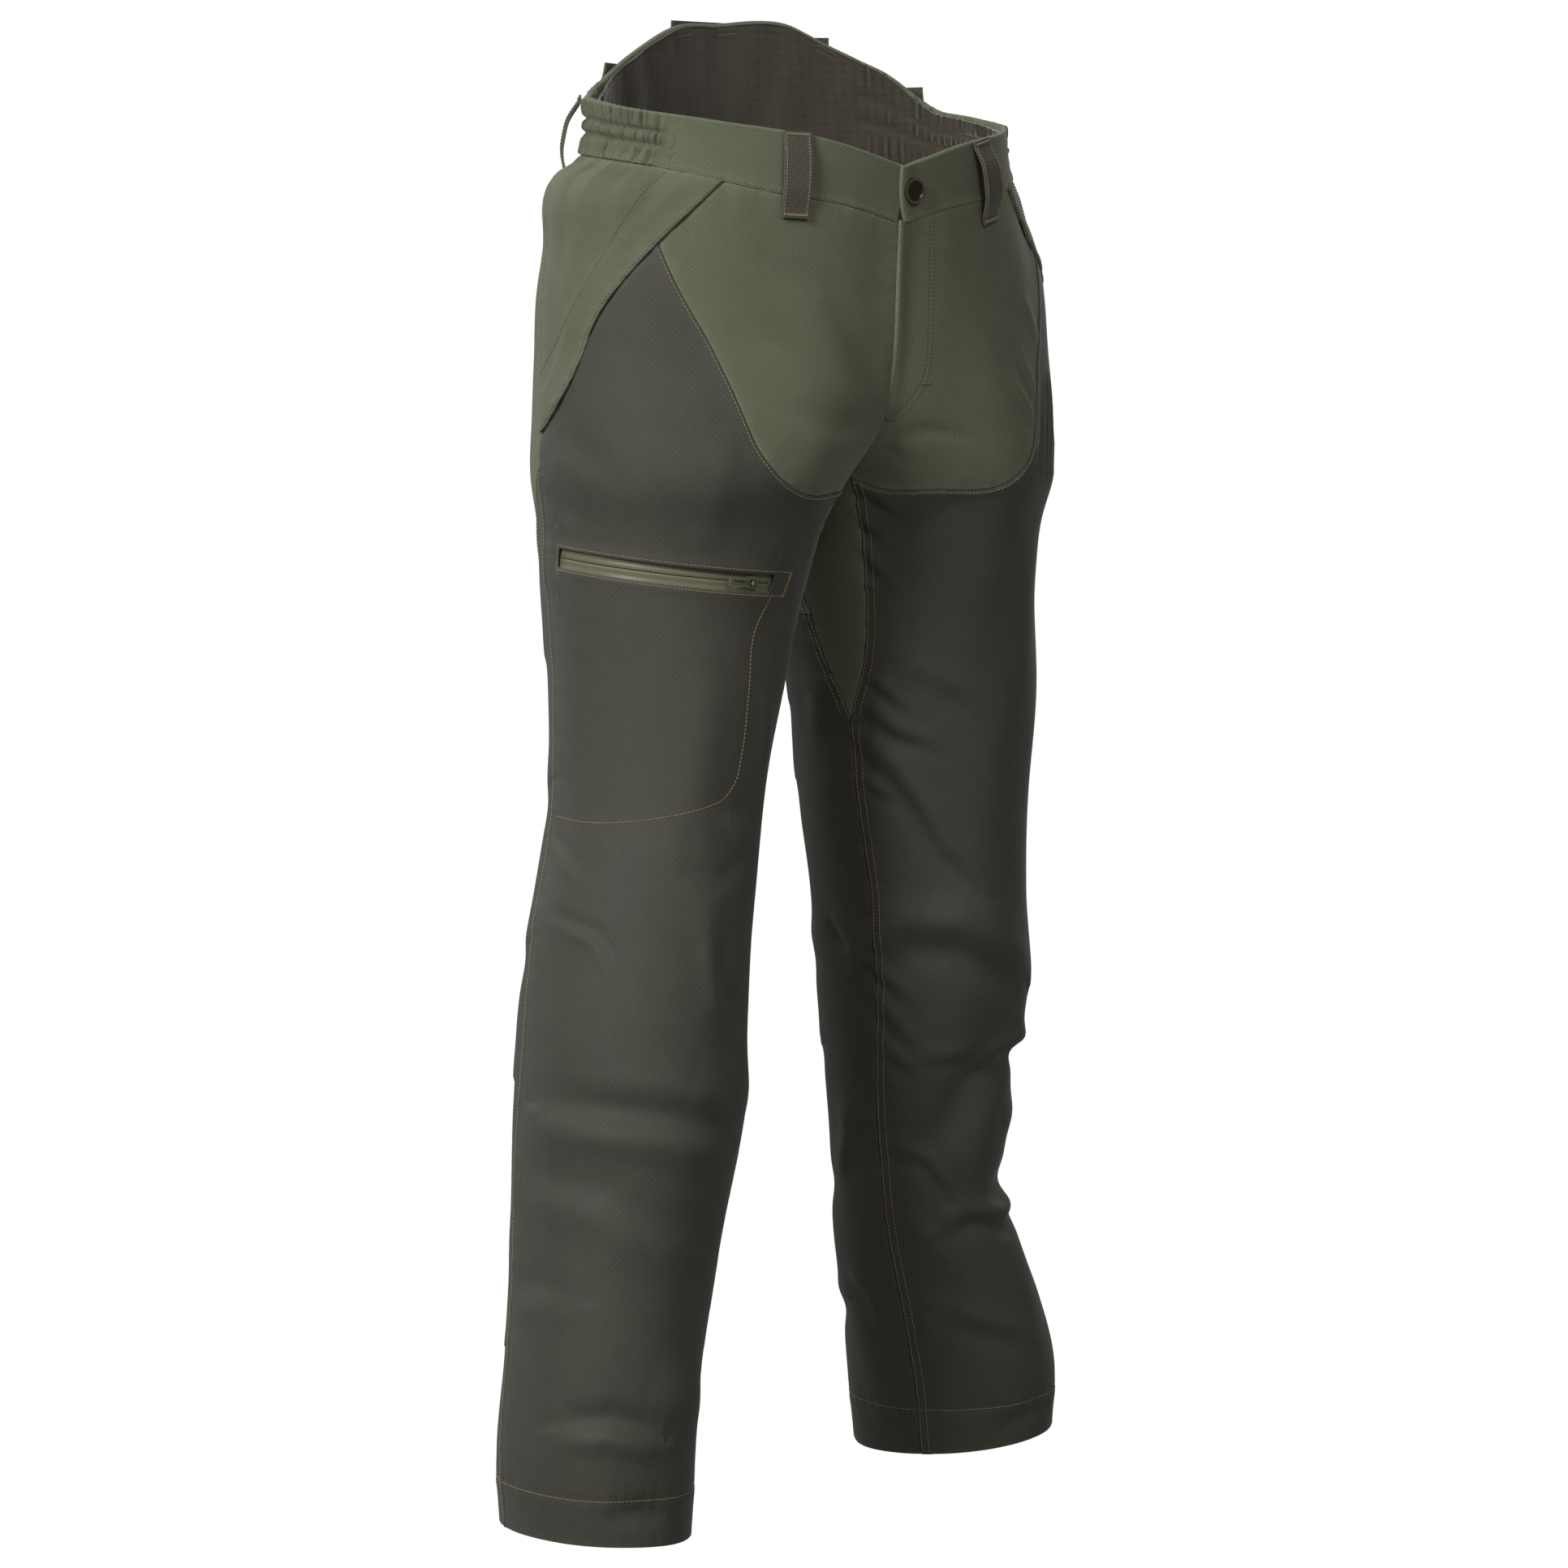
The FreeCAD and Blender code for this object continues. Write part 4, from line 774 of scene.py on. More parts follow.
def metal(name, colour, dark, rough=0.35, coat=0.0, metallic=1.0):
    """Plated or enamelled metal, or moulded plastic, with a rubbed, uneven finish."""
    material, tree, shader = new_material(name, Metallic=metallic, Coat_Weight=coat)
    solid = node(tree, "ShaderNodeTexCoord").outputs["Object"]
    spots = noise(tree, solid, 700.0, 4.0, 0.65)
    smear = noise(tree, solid, 140.0, 3.0)
    tone = blended(tree, reckon(tree, "MULTIPLY_ADD", spots, 1.8, -0.5), dark, colour)
    worn = node(tree, "ShaderNodeNewGeometry").outputs["Pointiness"]
    rub = node(tree, "ShaderNodeMapRange", {"Value": worn, "From Min": 0.52, "From Max": 0.62})
    tone = blended(tree, rub.outputs[0], tone, paler(colour, 2.4))
    tree.links.new(tone, shader.inputs["Base Color"])
    gloss = reckon(tree, "MULTIPLY_ADD", smear, 0.35, rough - 0.17)
    tree.links.new(gloss, shader.inputs["Roughness"])
    bumped(tree, shader, spots, 0.2, 0.1)
    return material


def thread_material(name, colour, dark):
    """Polyester sewing thread: a fine twist, and a little tone from one stitch to the next."""
    material, tree, shader = new_material(name, Roughness=0.6, Sheen_Weight=0.2)
    solid = node(tree, "ShaderNodeTexCoord").outputs["Object"]
    tone = blended(tree, noise(tree, solid, 400.0, 2.0), dark, colour)
    tree.links.new(tone, shader.inputs["Base Color"])
    twist = node(tree, "ShaderNodeTexWave", {"Vector": solid, "Scale": 900.0, "Distortion": 1.0},
                 bands_direction="DIAGONAL")
    bumped(tree, shader, twist.outputs[1], 0.3, 0.1)
    return material


GREEN = fabric("green_softshell", rgb(88, 92, 72), rgb(70, 74, 57), rgb(101, 105, 84), 0.5,
               sheen=0.12)
DARK = fabric("dark_canvas", rgb(61, 60, 52), rgb(48, 47, 40), rgb(74, 72, 63), 0.6, rough=0.7,
              sheen=0.1)
STRAP = fabric("strap_canvas", rgb(66, 61, 52), rgb(48, 44, 37), rgb(84, 78, 68), 0.8, 0.6, 0.74)
FLEECE = fabric("brushed_fleece", rgb(57, 51, 42), rgb(42, 37, 31), rgb(74, 66, 54), 1.3, 0.9,
                0.95, 0.6, nap=1.2, twill=False)
LINING = fabric("dark_lining", rgb(44, 40, 34), rgb(32, 29, 25), rgb(58, 53, 46), 0.4, 0.2, 0.6,
                twill=False)
ELASTIC = fabric("ribbed_elastic", rgb(58, 58, 54), rgb(42, 42, 40), rgb(78, 78, 74), 1.6, 0.9,
                 twill=False)
LABEL = fabric("woven_label", rgb(40, 40, 38), rgb(28, 28, 27), rgb(58, 57, 54), 0.4, 0.3, 0.55,
               twill=False)
TAPE = fabric("coated_tape", rgb(100, 99, 78), rgb(84, 83, 64), rgb(118, 117, 98), 0.5, 0.12, 0.38,
              0.0, twill=False, mottle=0.3)
TAPE_PLAIN = fabric("woven_tape", rgb(58, 58, 48), rgb(44, 44, 36), rgb(74, 74, 62), 0.7, 0.5,
                    twill=False, from_uv=False)
THREAD = thread_material("tan_thread", rgb(150, 138, 98), rgb(112, 102, 70))
THREAD_DARK = thread_material("olive_thread", rgb(96, 94, 72), rgb(70, 69, 52))
ENAMEL = metal("olive_enamel", rgb(84, 84, 64), rgb(56, 57, 44), 0.36, 0.3, 0.55)
BRONZE = metal("antique_bronze", rgb(92, 82, 70), rgb(44, 39, 34), 0.3)
TEETH = metal("moulded_teeth", rgb(82, 81, 62), rgb(64, 63, 48), 0.45, metallic=0.0)


# ---------------------------------------------------------------- legs, hips and seat
SIDE_STYLE = {"pucker": 0.34, "seed": 31, "reach": 9.0}
IN_STYLE = {"pucker": 0.5, "seed": 37, "reach": 11.0}
COLOUR_STYLE = {"pucker": 0.2, "seed": 41, "reach": 8.0}
BAND_STYLE = {"pucker": 0.25, "seed": 43, "reach": 7.0}
BACK_STYLE = {"pucker": 0.25, "seed": 47, "reach": 8.0}
GUSSET_STYLE = {"pucker": 0.3, "seed": 53, "reach": 8.0}
HEM_STYLE = {"groove": 0.4, "pucker": 0.2, "seed": 61}
SEAM_LAP = 0.25
SIDE_LAP = 0.15
HEM_STITCH = 36.0
LEG_COLUMNS = 112
POCKET_TUCK = 9
FLY_LAP = 3.4
FLY_END = 818.0


def lapped(curve, amount):
    """Edge curve moved so that neighbours meet under the stitching without a gap."""
    return lambda x: curve(x) + amount


def leg_top(a):
    """The front leg panel's upper edge: the colour seam, then in under the pocket band."""
    return np.minimum(colour_seam(a), pocket_edge(a) + POCKET_TUCK)


def hip_top(a):
    """The front hip panel's upper edge: the band seam, then in under the pocket band."""
    tucked = np.where(a > 36, pocket_edge(a) + POCKET_TUCK, 2000)
    return np.minimum(band_seam(a) + SEAM_LAP, tucked)


def under_band(patch, from_angle):
    """Sinks a panel where it runs in under the pocket band."""
    over = patch.h - pocket_edge(patch.a)
    patch.lift = patch.lift - 1.5 * ease((over + 5) / 5) * ease((patch.a - from_angle) / 1.5)
    return patch


def window_share(h, a):
    """1 along the zip's window and 0 beyond its ends."""
    low, high = zip_angle(WINDOW_FROM), zip_angle(WINDOW_TO)
    return ((a > low) & (a < high)).astype(float)


def front_leg(half):
    name = "front_leg_" + half.name
    across = (half.front_edge, lapped(side_seam, SIDE_LAP))
    hem = always(0.0)
    nodes = ["front_leg_panel_" + half.name, "hem_band_" + half.name]
    inner = {"raised": 0.7, "width": 8.5, **IN_STYLE}
    top = {"raised": 0.6, "width": 5.0, **COLOUR_STYLE}
    if half.name == "left":
        patch = Patch(half, across, (hem, leg_top), LEG_COLUMNS, 262)
        patch.seam("front", **inner).seam("back", **SIDE_STYLE).seam("top", **top)
        patch.seam("bottom", **HEM_STYLE)
        patches = [patch]
    else:
        start, end = zip_angle(WINDOW_FROM), zip_angle(WINDOW_TO)
        anchors = [(46, start - 0.12), (47, start + 0.12), (101, end - 0.12), (102, end + 0.12)]

        def below(a):
            return zip_height(a) - WINDOW_HALF * window_share(0, a)

        def above(a):
            return zip_height(a) + WINDOW_HALF * window_share(0, a)
        lower = Patch(half, across, (hem, below), LEG_COLUMNS, 236, anchors)
        upper = Patch(half, across, (above, leg_top), LEG_COLUMNS, 60, anchors)
        lip = {"raised": 0.5, "width": 5.0, "groove": -0.1, "pucker": 0.12, "seed": 67,
               "where": window_share}
        for patch, high, low in ((lower, lip, HEM_STYLE), (upper, top, lip)):
            patch.seam("front", **inner).seam("back", **SIDE_STYLE)
            patch.seam("top", **high).seam("bottom", **low)
        patches = [lower, upper]
        nodes += ["front_thigh_panel_right", "thigh_zip_end_cloth"]
    for patch in patches:
        under_band(patch, 56.0)
        hem_ridge(patch)
    obj = finish_piece(cloth_piece(name, patches), DARK, nodes=nodes)


def hem_ridge(patch):
    """The turned-up hem: thicker cloth up to its stitching, with shallow puckers."""
    h = patch.h
    s = patch.a * patch.half.mean_scale(h)
    step = 0.45 * (1 - ease((h - HEM_STITCH + 1.0) / 3.0))
    dent = -0.5 * bell(h - HEM_STITCH, 1.6)
    wave = 0.3 * seam_wave(s, 71) * bell(h - HEM_STITCH, 11)
    patch.lift = patch.lift + step + dent + wave


def back_leg(half):
    across = (lapped(side_seam, -SIDE_LAP), half.back_edge)
    patch = Patch(half, across, (always(0.0), lapped(back_colour_seam, SEAM_LAP)), 112, 236)
    patch.seam("front", raised=0.7, width=4.5, **SIDE_STYLE)
    patch.seam("back", **IN_STYLE)
    patch.seam("top", **BACK_STYLE)
    patch.seam("bottom", **HEM_STYLE)
    hem_ridge(patch)
    obj = finish_piece(cloth_piece("back_leg_" + half.name, [patch]), DARK,
                       nodes=["back_leg_panel_" + half.name])


def seat(half):
    across = (lapped(side_seam, -SIDE_LAP), half.back_edge)
    patch = Patch(half, across, (back_colour_seam, lapped(band_seam, SEAM_LAP)), 100, 126)
    patch.seam("front", raised=0.7, width=4.5, **SIDE_STYLE)
    patch.seam("back", pucker=0.25, seed=59)
    patch.seam("top", **BAND_STYLE)
    patch.seam("bottom", raised=0.6, width=5.0, **BACK_STYLE)
    obj = finish_piece(cloth_piece("seat_" + half.name, [patch]), GREEN,
                       nodes=["seat_panel_" + half.name])


def fly_edge(h):
    """The left front's edge, which laps over the right front down to the end of the fly."""
    lap = FLY_LAP * ease((h - FLY_END) / 9.0)
    return left.front_edge(h) - lap / left.scale(h, left.front_edge(h))


def front_hip(half):
    start = fly_edge if half.name == "left" else half.front_edge
    patch = Patch(half, (start, always(59.0)), (colour_seam, hip_top), 92, 92)
    patch.seam("bottom", **COLOUR_STYLE)
    patch.seam("top", **BAND_STYLE)
    under_band(patch, 41.0)
    gap = patch.gaps["front"]
    if half.name == "left":
        open_part = ease((patch.h - FLY_END) / 9.0)
        lap = 2.9 * (1 - ease((gap - 2.0) / 9.0)) - 0.9 * np.clip(1 - gap / 1.0, 0, 1) ** 2
        closed = edge_lift(gap, patch.h, raised=0.6, width=4.0, pucker=0.2, seed=73)
        patch.lift = patch.lift + open_part * lap + (1 - open_part) * closed
        # The lapping fly edge gets the painted highlight.
        patch.wear = np.minimum(patch.wear, np.maximum(gap, 0))
    else:
        patch.seam("front", groove=1.4, pucker=0.2, seed=73)
    obj = finish_piece(cloth_piece("front_hip_" + half.name, [patch]), GREEN,
                       nodes=["front_hip_panel_" + half.name])


def side_hip(half):
    across = (pocket_edge_angle, lapped(side_seam, SIDE_LAP))
    patch = Patch(half, across, (always(812.0), lapped(band_seam, SEAM_LAP)), 60, 96)
    patch.seam("back", **SIDE_STYLE)
    patch.seam("top", **BAND_STYLE)
    gap = patch.gaps["front"]
    ply = 1.5 * (1 - ease((gap - 20) / 10))
    lip = -0.7 * np.clip(1 - gap / 1.2, 0, 1) ** 2
    flare = 0.9 * bell(gap, 9) * (0.4 + 0.6 * np.sin(patch.h / 19.0 + 1.2) ** 2)
    flare = flare + 0.4 * seam_wave(patch.h, 79) * bell(gap, 7)
    patch.lift = patch.lift + ply + lip + np.maximum(flare, -0.2)
    # The pocket band's free edge gets the painted highlight.
    patch.wear = np.minimum(patch.wear, np.maximum(gap, 0))
    obj = cloth_piece("side_hip_" + half.name, [patch], thickness=1.5)
    finish_piece(obj, GREEN,
                 nodes=["side_hip_panel_" + half.name, "pocket_band_" + half.name])


def crotch_height(half, a):
    """Height at which the half's surface reaches the middle plane, under the crotch."""
    a = np.asarray(a, float)
    low, high = np.full(a.shape, 730.0), np.full(a.shape, 812.0)
    for _ in range(26):
        middle = 0.5 * (low + high)
        outside = half.side * half.base(middle, a)[..., 0] > 0
        low, high = np.where(outside, middle, low), np.where(outside, high, middle)
    return low


def gusset():
    """One diamond of cloth from inside one knee, over the crotch, to the other."""
    faces = {}
    for half in (left, right):
        edges = (lapped(gusset_back, -SIDE_LAP), lapped(gusset_front, SIDE_LAP))
        top = partial(crotch_height, half)
        patch = Patch(half, edges, (always(593.0), top), 56, 66)
        patch.seam("front", **GUSSET_STYLE)
        patch.seam("back", **GUSSET_STYLE)
        outer, normals = place_points(half, patch.h, patch.a, patch.lift)
        across = patch.a * half.mean_scale(patch.h) * half.side
        uv = np.stack([across, patch.h * half.side], axis=-1)
        # Edge distances for the painted highlight ride along with the points.
        faces[half.name] = (outer, normals, uv, patch.wear)
    joined = []
    for one, other in zip(faces["left"], faces["right"]):
        middle = 0.5 * (one[-1] + other[-1])
        joined.append(np.concatenate([one[:-1], middle[None], other[:-1][::-1]]))
    outer, normals, uv, wear = joined
    quads = grid_quads(*wear.shape)
    outer, normals, uv = outer.reshape(-1, 3), normals.reshape(-1, 3), uv.reshape(-1, 2)
    obj = closed_cloth("gusset", outer, outer - normals * CLOTH, quads, uv,
                       np.exp(-wear.ravel() / HIGHLIGHT_FADE))
    finish_piece(obj, GREEN, nodes=["crotch_gusset"])


# ---------------------------------------------------------------- waistband
ROW_LOW, ROW_HIGH = 0.38, 0.63
BAND_EDGE = 2.1


def elastic_relief(half, h, a):
    """Gathers over the elastic: three puffs, each with its own upright ripples."""
    zone = ease((a - ELASTIC_FROM - 1) / 4) * ease((ELASTIC_TO - 1 - a) / 4)
    v = (h - band_seam(a)) / (half.band_top(a) - band_seam(a))
    rows = bell(v - ROW_LOW, 0.055) + bell(v - ROW_HIGH, 0.055)
    x = a * 2.75 + (0 if half.name == "right" else 11)
    total = np.zeros(np.shape(h))
    for centre, seed in ((0.17, 3), (0.5, 5), (0.86, 7)):
        mine = bell(v - centre, 0.2)
        drift = 1.5 * np.sin(x / 23 + seed) + 1.1 * np.sin(x / 13 + 2 * seed)
        ripple = np.sin(2 * math.pi * x / 7.6 + drift + 0.8 * seed)
        ripple = 0.7 * ripple + 0.45 * np.sin(2 * math.pi * x / 4.9 + 1.7 * drift + seed)
        total = total + mine * ripple
    shared = np.sin(2 * math.pi * x / 8.3 + 1.9 * np.sin(x / 17)) * 0.5
    return zone * (2.0 - 2.9 * rows + (1.75 * total + 0.9 * shared) * (1 - 0.5 * rows))


def band_patch(half, start, end, columns, rows=34):
    return Patch(half, (start, end), (band_seam, lapped(half.band_top, -BAND_EDGE)), columns, rows)


def band_piece(name, patch, nodes):
    patch.seam("bottom", raised=0.4, width=3.0, **BAND_STYLE)
    patch.roll(patch.half.band_top, BAND_EDGE, 7.0)
    patch.lift = patch.lift + elastic_relief(patch.half, patch.h, patch.a)
    obj = finish_piece(cloth_piece(name, [patch], thickness=0.8), GREEN, nodes=nodes)


def waistband():
    """Front and elastic parts of each half, and the raised back, also made from two halves."""
    for half in (right, left):
        lap = FLY_LAP if half is left else -0.6
        start = always(-lap / 3.2)
        patch = band_patch(half, start, always(ELASTIC_FROM + 0.05), 76)
        gap = patch.gaps["front"]
        if half is left:
            end = 1.2 * np.clip(1 - gap / 1.4, 0, 1) ** 2
            patch.lift = patch.lift + 2.2 * (1 - ease((gap - 4) / 12)) - end
            # The band's lapping end over the fly gets the painted highlight.
            patch.wear = np.minimum(patch.wear, np.maximum(gap, 0))
        patch.seam("back", raised=0.3, width=2.5, groove=0.5, pucker=0.3, seed=83)
        band_piece("band_front_" + half.name, patch, ["waistband_front_" + half.name])
        patch = band_patch(half, always(ELASTIC_FROM), always(ELASTIC_TO), 118)
        band_piece("band_elastic_" + half.name, patch, ["waistband_elastic_" + half.name])
    for half in (right, left):
        patch = band_patch(half, always(ELASTIC_TO - 0.05), always(180.0), 62, 44)
        patch.seam("front", groove=0.5, pucker=0.3, seed=89)
        band_piece("band_back" if half is right else "band_back_left", patch,
                   ["waistband_back"])


def inner_piece(name, half, across, up, inset, material, nodes, size, thickness,
                shape=None):
    """Cloth inside the garment, which follows the outer cloth at a depth."""
    patch = Patch(half, across, up, *size)
    patch.lift = patch.lift - inset
    if shape is not None:
        patch.lift = patch.lift + shape(half, patch)
    obj = cloth_piece(name, [patch], thickness=thickness)
    finish_piece(obj, material, nodes=nodes)


def fleece_shape(half, patch):
    """The band's lining: gathered with the elastic, loose over the back, turned in at the top."""
    h, a, gap = patch.h, patch.a, patch.gaps["top"]
    gathers = -0.75 * np.maximum(elastic_relief(half, h, a + 0.7) - 1.6, -2.4)
    gathers = gathers - 1.2 * ease((a - 62) / 6) * ease((140 - a) / 6)
    back = 0.9 * np.sin(a * 0.42 + h / 31) + 0.6 * np.sin(a * 0.21 - h / 45 + 2)
    back = ease((a - 128) / 14) * back
    top = -0.9 * np.clip(1 - gap / 1.5, 0, 1) ** 2 - 0.5 * bell(gap - 3.5, 1.2)
    return gathers + np.minimum(back, 0.7) - 0.7 + top


def crumple(half, patch):
    """Loose soft creases all over the hanging lining."""
    p = half.base(patch.h, patch.a)
    waves = random.Random(17)
    total = np.zeros(patch.h.shape)
    for _ in range(9):
        length = waves.uniform(28, 80)
        turn, lean = waves.uniform(0, math.pi), waves.uniform(-1, 1)
        k = np.array([math.cos(turn), math.sin(turn), lean]) * 2 * math.pi / length
        total += 0.45 * np.sin(p @ k + waves.uniform(0, 6.3))
    return np.minimum(total, 1.2) - 1.5


def linings():
    for half in (right, left):
        side = half.name
        inner_piece("fleece_" + side, half, (always(22.0), always(180.0)),
                    (lapped(band_seam, 1.0), lapped(half.band_top, -2.6)), 4.9, FLEECE,
                    ["waistband_lining_" + side], (150, 44), 1.2,
                    fleece_shape)
        inner_piece("soft_lining_" + side, half, (always(24.0), always(179.6)),
                    (always(800.0), lapped(band_seam, 2.0)), 7.4, LINING,
                    ["upper_lining_" + side], (110, 60), 0.6, crumple)
        inner_piece("hand_bag_" + side, half, (always(36.0), always(102.0)),
                    (always(812.0), lambda a: 968 + 0.3 * (a - 36)), 4.0, LINING,
                    ["hand_pocket_bag_" + side], (46, 40), 1.2)
        inner_piece("webbing_" + side, half,
                    (always(ELASTIC_FROM + 1), always(ELASTIC_TO - 1)),
                    (lapped(band_seam, 3.0), lapped(band_seam, 35.0)), 2.6, ELASTIC,
                    ["elastic_webbing_" + side], (60, 24), 0.8)
    inner_piece("thigh_bag", right, (always(-11.0), always(100.0)),
                (always(532.0), lambda a: zip_height(a) - 16.5), 2.6, LINING,
                ["thigh_pocket_bag"], (60, 50), 1.4)
    facing_edge = (lambda h: left.middle(h) + 3, lambda h: 0.11 * (h - 870) + 4)
    inner_piece("fly_facing_cloth", left, facing_edge, (always(862.0), always(962.0)), 4.2, GREEN,
                ["fly_facing"], (30, 30), 1.0)


# ---------------------------------------------------------------- sewing
THREAD_RADIUS = 0.3
STITCH_PITCH = 3.0
STITCH_SHARE = 0.8
RING = 5
# share of the stitch's length, height in rises, share of the thread's radius
STITCH_ARCH = [(0.0, -0.35, 0.6), (0.22, 0.8, 1.0), (0.5, 1.1, 1.05), (0.78, 0.8, 1.0),
               (1.0, -0.35, 0.6)]
LAST_RING = len(STITCH_ARCH) - 1


class Sewing:
    """Collects the stitches of one region and makes them one piece."""

    def __init__(self, name, material=None):
        self.name = name
        self.material = material or THREAD
        self.points, self.faces = [], []

    def stitch(self, start, end, up_start, up_end, radius=THREAD_RADIUS, rise=0.26):
        """One thread from hole to hole, sunk at both ends."""
        base = len(self.points)
        along = end - start
        length = np.linalg.norm(along)
        if length < 1e-6:
            return
        along = along / length
        for t, height, share in STITCH_ARCH:
            up = up_start * (1 - t) + up_end * t
            up = up / np.linalg.norm(up)
            side = np.cross(along, up)
            centre = start * (1 - t) + end * t + up * rise * height
            for k in range(RING):
                turn = 2 * math.pi * k / RING
                way = side * math.cos(turn) + up * math.sin(turn)
                self.points.append(centre + way * radius * share)
        for ring in range(LAST_RING):
            for k in range(RING):
                a = base + ring * RING + k
                b = base + ring * RING + (k + 1) % RING
                self.faces.append((a, b, b + RING, a + RING))
        last = base + LAST_RING * RING
        self.faces.append(tuple(range(base, base + RING))[::-1])
        self.faces.append(tuple(range(last, last + RING)))

    def run(self, spots, pitch=STITCH_PITCH):
        """A row of stitches along (point, normal) spots that lie close together."""
        if len(spots) < 2:
            return
        points = np.array([p for p, n in spots])
        normals = np.array([n for p, n in spots])
        steps = np.linalg.norm(np.diff(points, axis=0), axis=1)
        length = np.concatenate([[0], np.cumsum(steps)])
        count = int(length[-1] / pitch)

        def at(s):
            return [np.array([np.interp(s, length, rows[:, k]) for k in range(3)])
                    for rows in (points, normals)]
        for k in range(count):
            s = (k + 0.1) * pitch
            start, up_start = at(s)
            end, up_end = at(s + STITCH_SHARE * pitch)
            self.stitch(start, end, up_start, up_end)

    def line(self, half, hs, angles, cloth, offset=0.0, pitch=STITCH_PITCH):
        """Stitches on the named pieces through (height, angle) places, moved aside by offset."""
        hs, angles = np.asarray(hs, float), np.asarray(angles, float)
        if offset:
            q = half.mean_scale(hs)
            dx, dh = np.gradient(angles) * q, np.gradient(hs)
            size = np.hypot(dx, dh)
            angles = angles + offset * dh / size / q
            hs = hs - offset * dx / size
        spots = []
        base, normals = half.base(hs, angles), half.normal(hs, angles)
        for p, n in zip(base, normals):
            spot = land(p, n, cloth)
            if spot is None:
                self.run(spots, pitch)
                spots = []
            else:
                spots.append((spot, n))
        self.run(spots, pitch)

    def make(self):
        mesh = bpy.data.meshes.new(self.name)
        mesh.from_pydata((np.array(self.points) * MM).tolist(), [], self.faces)
        mesh.polygons.foreach_set("use_smooth", np.ones(len(mesh.polygons), dtype=bool))
        mesh.update()
        obj = bpy.data.objects.new(self.name, mesh)
        bpy.context.scene.collection.objects.link(obj)
        finish_piece(obj, self.material)


def land(point, normal, cloth, out=34):
    """Where a place's normal meets the outermost of the named pieces."""
    start = Vector(((point + normal * out) * MM).tolist())
    way = Vector((-normal).tolist())
    hits = [trees[name].ray_cast(start, way, PICK_REACH) for name in cloth]
    hits = [(distance, hit) for hit, _, _, distance in hits if hit is not None]
    return np.array(min(hits, key=lambda found: found[0])[1]) / MM if hits else None


def ladder(low, high, step=2.0):
    return np.linspace(low, high, max(2, int(abs(high - low) / step) + 1))


def angle_at(half, h, x):
    """Angle of the front place that lies x from the middle plane."""
    cx, _, wide = half.section(h)[:3]
    return np.degrees(np.arcsin(np.clip((x - cx) / wide, -1, 1)))


def leg_sewing(half):
    side = half.name
    legs = ["front_leg_" + side, "back_leg_" + side]
    sew = Sewing("stitching_leg_" + side)
    h = ladder(4, 1006)
    sew.line(half, h, side_seam(h), ["back_leg_" + side, "seat_" + side], offset=2.6)
    h = ladder(2, 588)
    for offset in (1.8, 7.0):
        sew.line(half, h, inseam(h), ["front_leg_" + side], offset=offset)
    h = ladder(596, 776)
    for offset in (1.8, 7.0):
        sew.line(half, h, gusset_front(h), ["front_leg_" + side, "front_hip_" + side],
                 offset=offset)
    h = ladder(596, 770)
    for offset in (-1.8, -7.0):
        sew.line(half, h, 360 + gusset_back(h), ["back_leg_" + side, "seat_" + side], offset=offset)
    a = ladder(-82, 278, 1.2)
    sew.line(half, np.full(a.shape, HEM_STITCH), a, legs)
    a = ladder(-62, 57.5, 1.0)
    sew.line(half, colour_seam(a), a, ["front_leg_" + side], offset=1.9)
    a = ladder(100, 270, 1.2)
    sew.line(half, back_colour_seam(a), a, ["seat_" + side], offset=-2.0)
    sew.make()
    sew = Sewing("stitching_hip_" + side, THREAD_DARK)
    h = ladder(800, 992)
    sew.line(half, h, pocket_edge_angle(h), ["side_hip_" + side], offset=2.2)
    h = ladder(846, 1000)
    sew.line(half, h, pocket_stitch_angle(h), ["side_hip_" + side])
    band = ["band_front_" + side, "band_elastic_" + side]
    a = ladder(-1 if half is right else 0, 180, 1.0)
    back = ["band_back" if half is right else "band_back_left"]
    sew.line(half, band_seam(a), a, band + back, offset=-2.0)
    a = ladder(0, 180, 1.0)
    sew.line(half, half.band_top(a) - 3.2, a, ["fleece_" + side])
    a = ladder(ELASTIC_FROM, ELASTIC_TO, 0.5)
    for share in (ROW_LOW, ROW_HIGH):
        sew.line(half, band_seam(a) + share * (half.band_top(a) - band_seam(a)), a, band)
    h = ladder(float(band_seam(ELASTIC_FROM)) + 1, float(half.band_top(ELASTIC_FROM)) - 1, 1.0)
    zigzag = ELASTIC_FROM - 0.6 + 0.5 * (-1.0) ** np.arange(len(h))
    sew.line(half, h, zigzag, ["band_front_" + side], pitch=1.6)
    sew.make()


def fly_sewing():
    sew = Sewing("stitching_fly", THREAD_DARK)
    cloth = ["front_hip_left"]
    path = through([(818, 3.0), (821, 8.5), (834, 19), (848, 26.5), (866, 29.5), (890, 30.5),
                    (985, 31)])
    for inward in (0.0, 4.2):
        h = ladder(819 + inward, 972, 1.5)
        sew.line(left, h, angle_at(left, h, path(h - inward * 0.6) - inward), cloth)
    h = ladder(782, 962)
    sew.line(left, h, fly_edge(h), cloth, offset=1.9)
    for h0, x0, x1 in ((846, 24, 30), (820, 2, 8)):
        for x in ladder(x0, x1, 0.8):
            a = angle_at(left, np.array(float(h0)), x)
            p, n = left.base(h0, a), left.normal(h0, a)
            spot = land(p, n, cloth)
            if spot is not None:
                rise = np.array((0.0, 0.0, 1.1))
                sew.stitch(spot - rise, spot + rise, n, n)
    sew.make()


# ---------------------------------------------------------------- belt loops
LOOP_WIDTH, LOOP_LENGTH, LOOP_CLOTH = 21.0, 63.0, 1.7


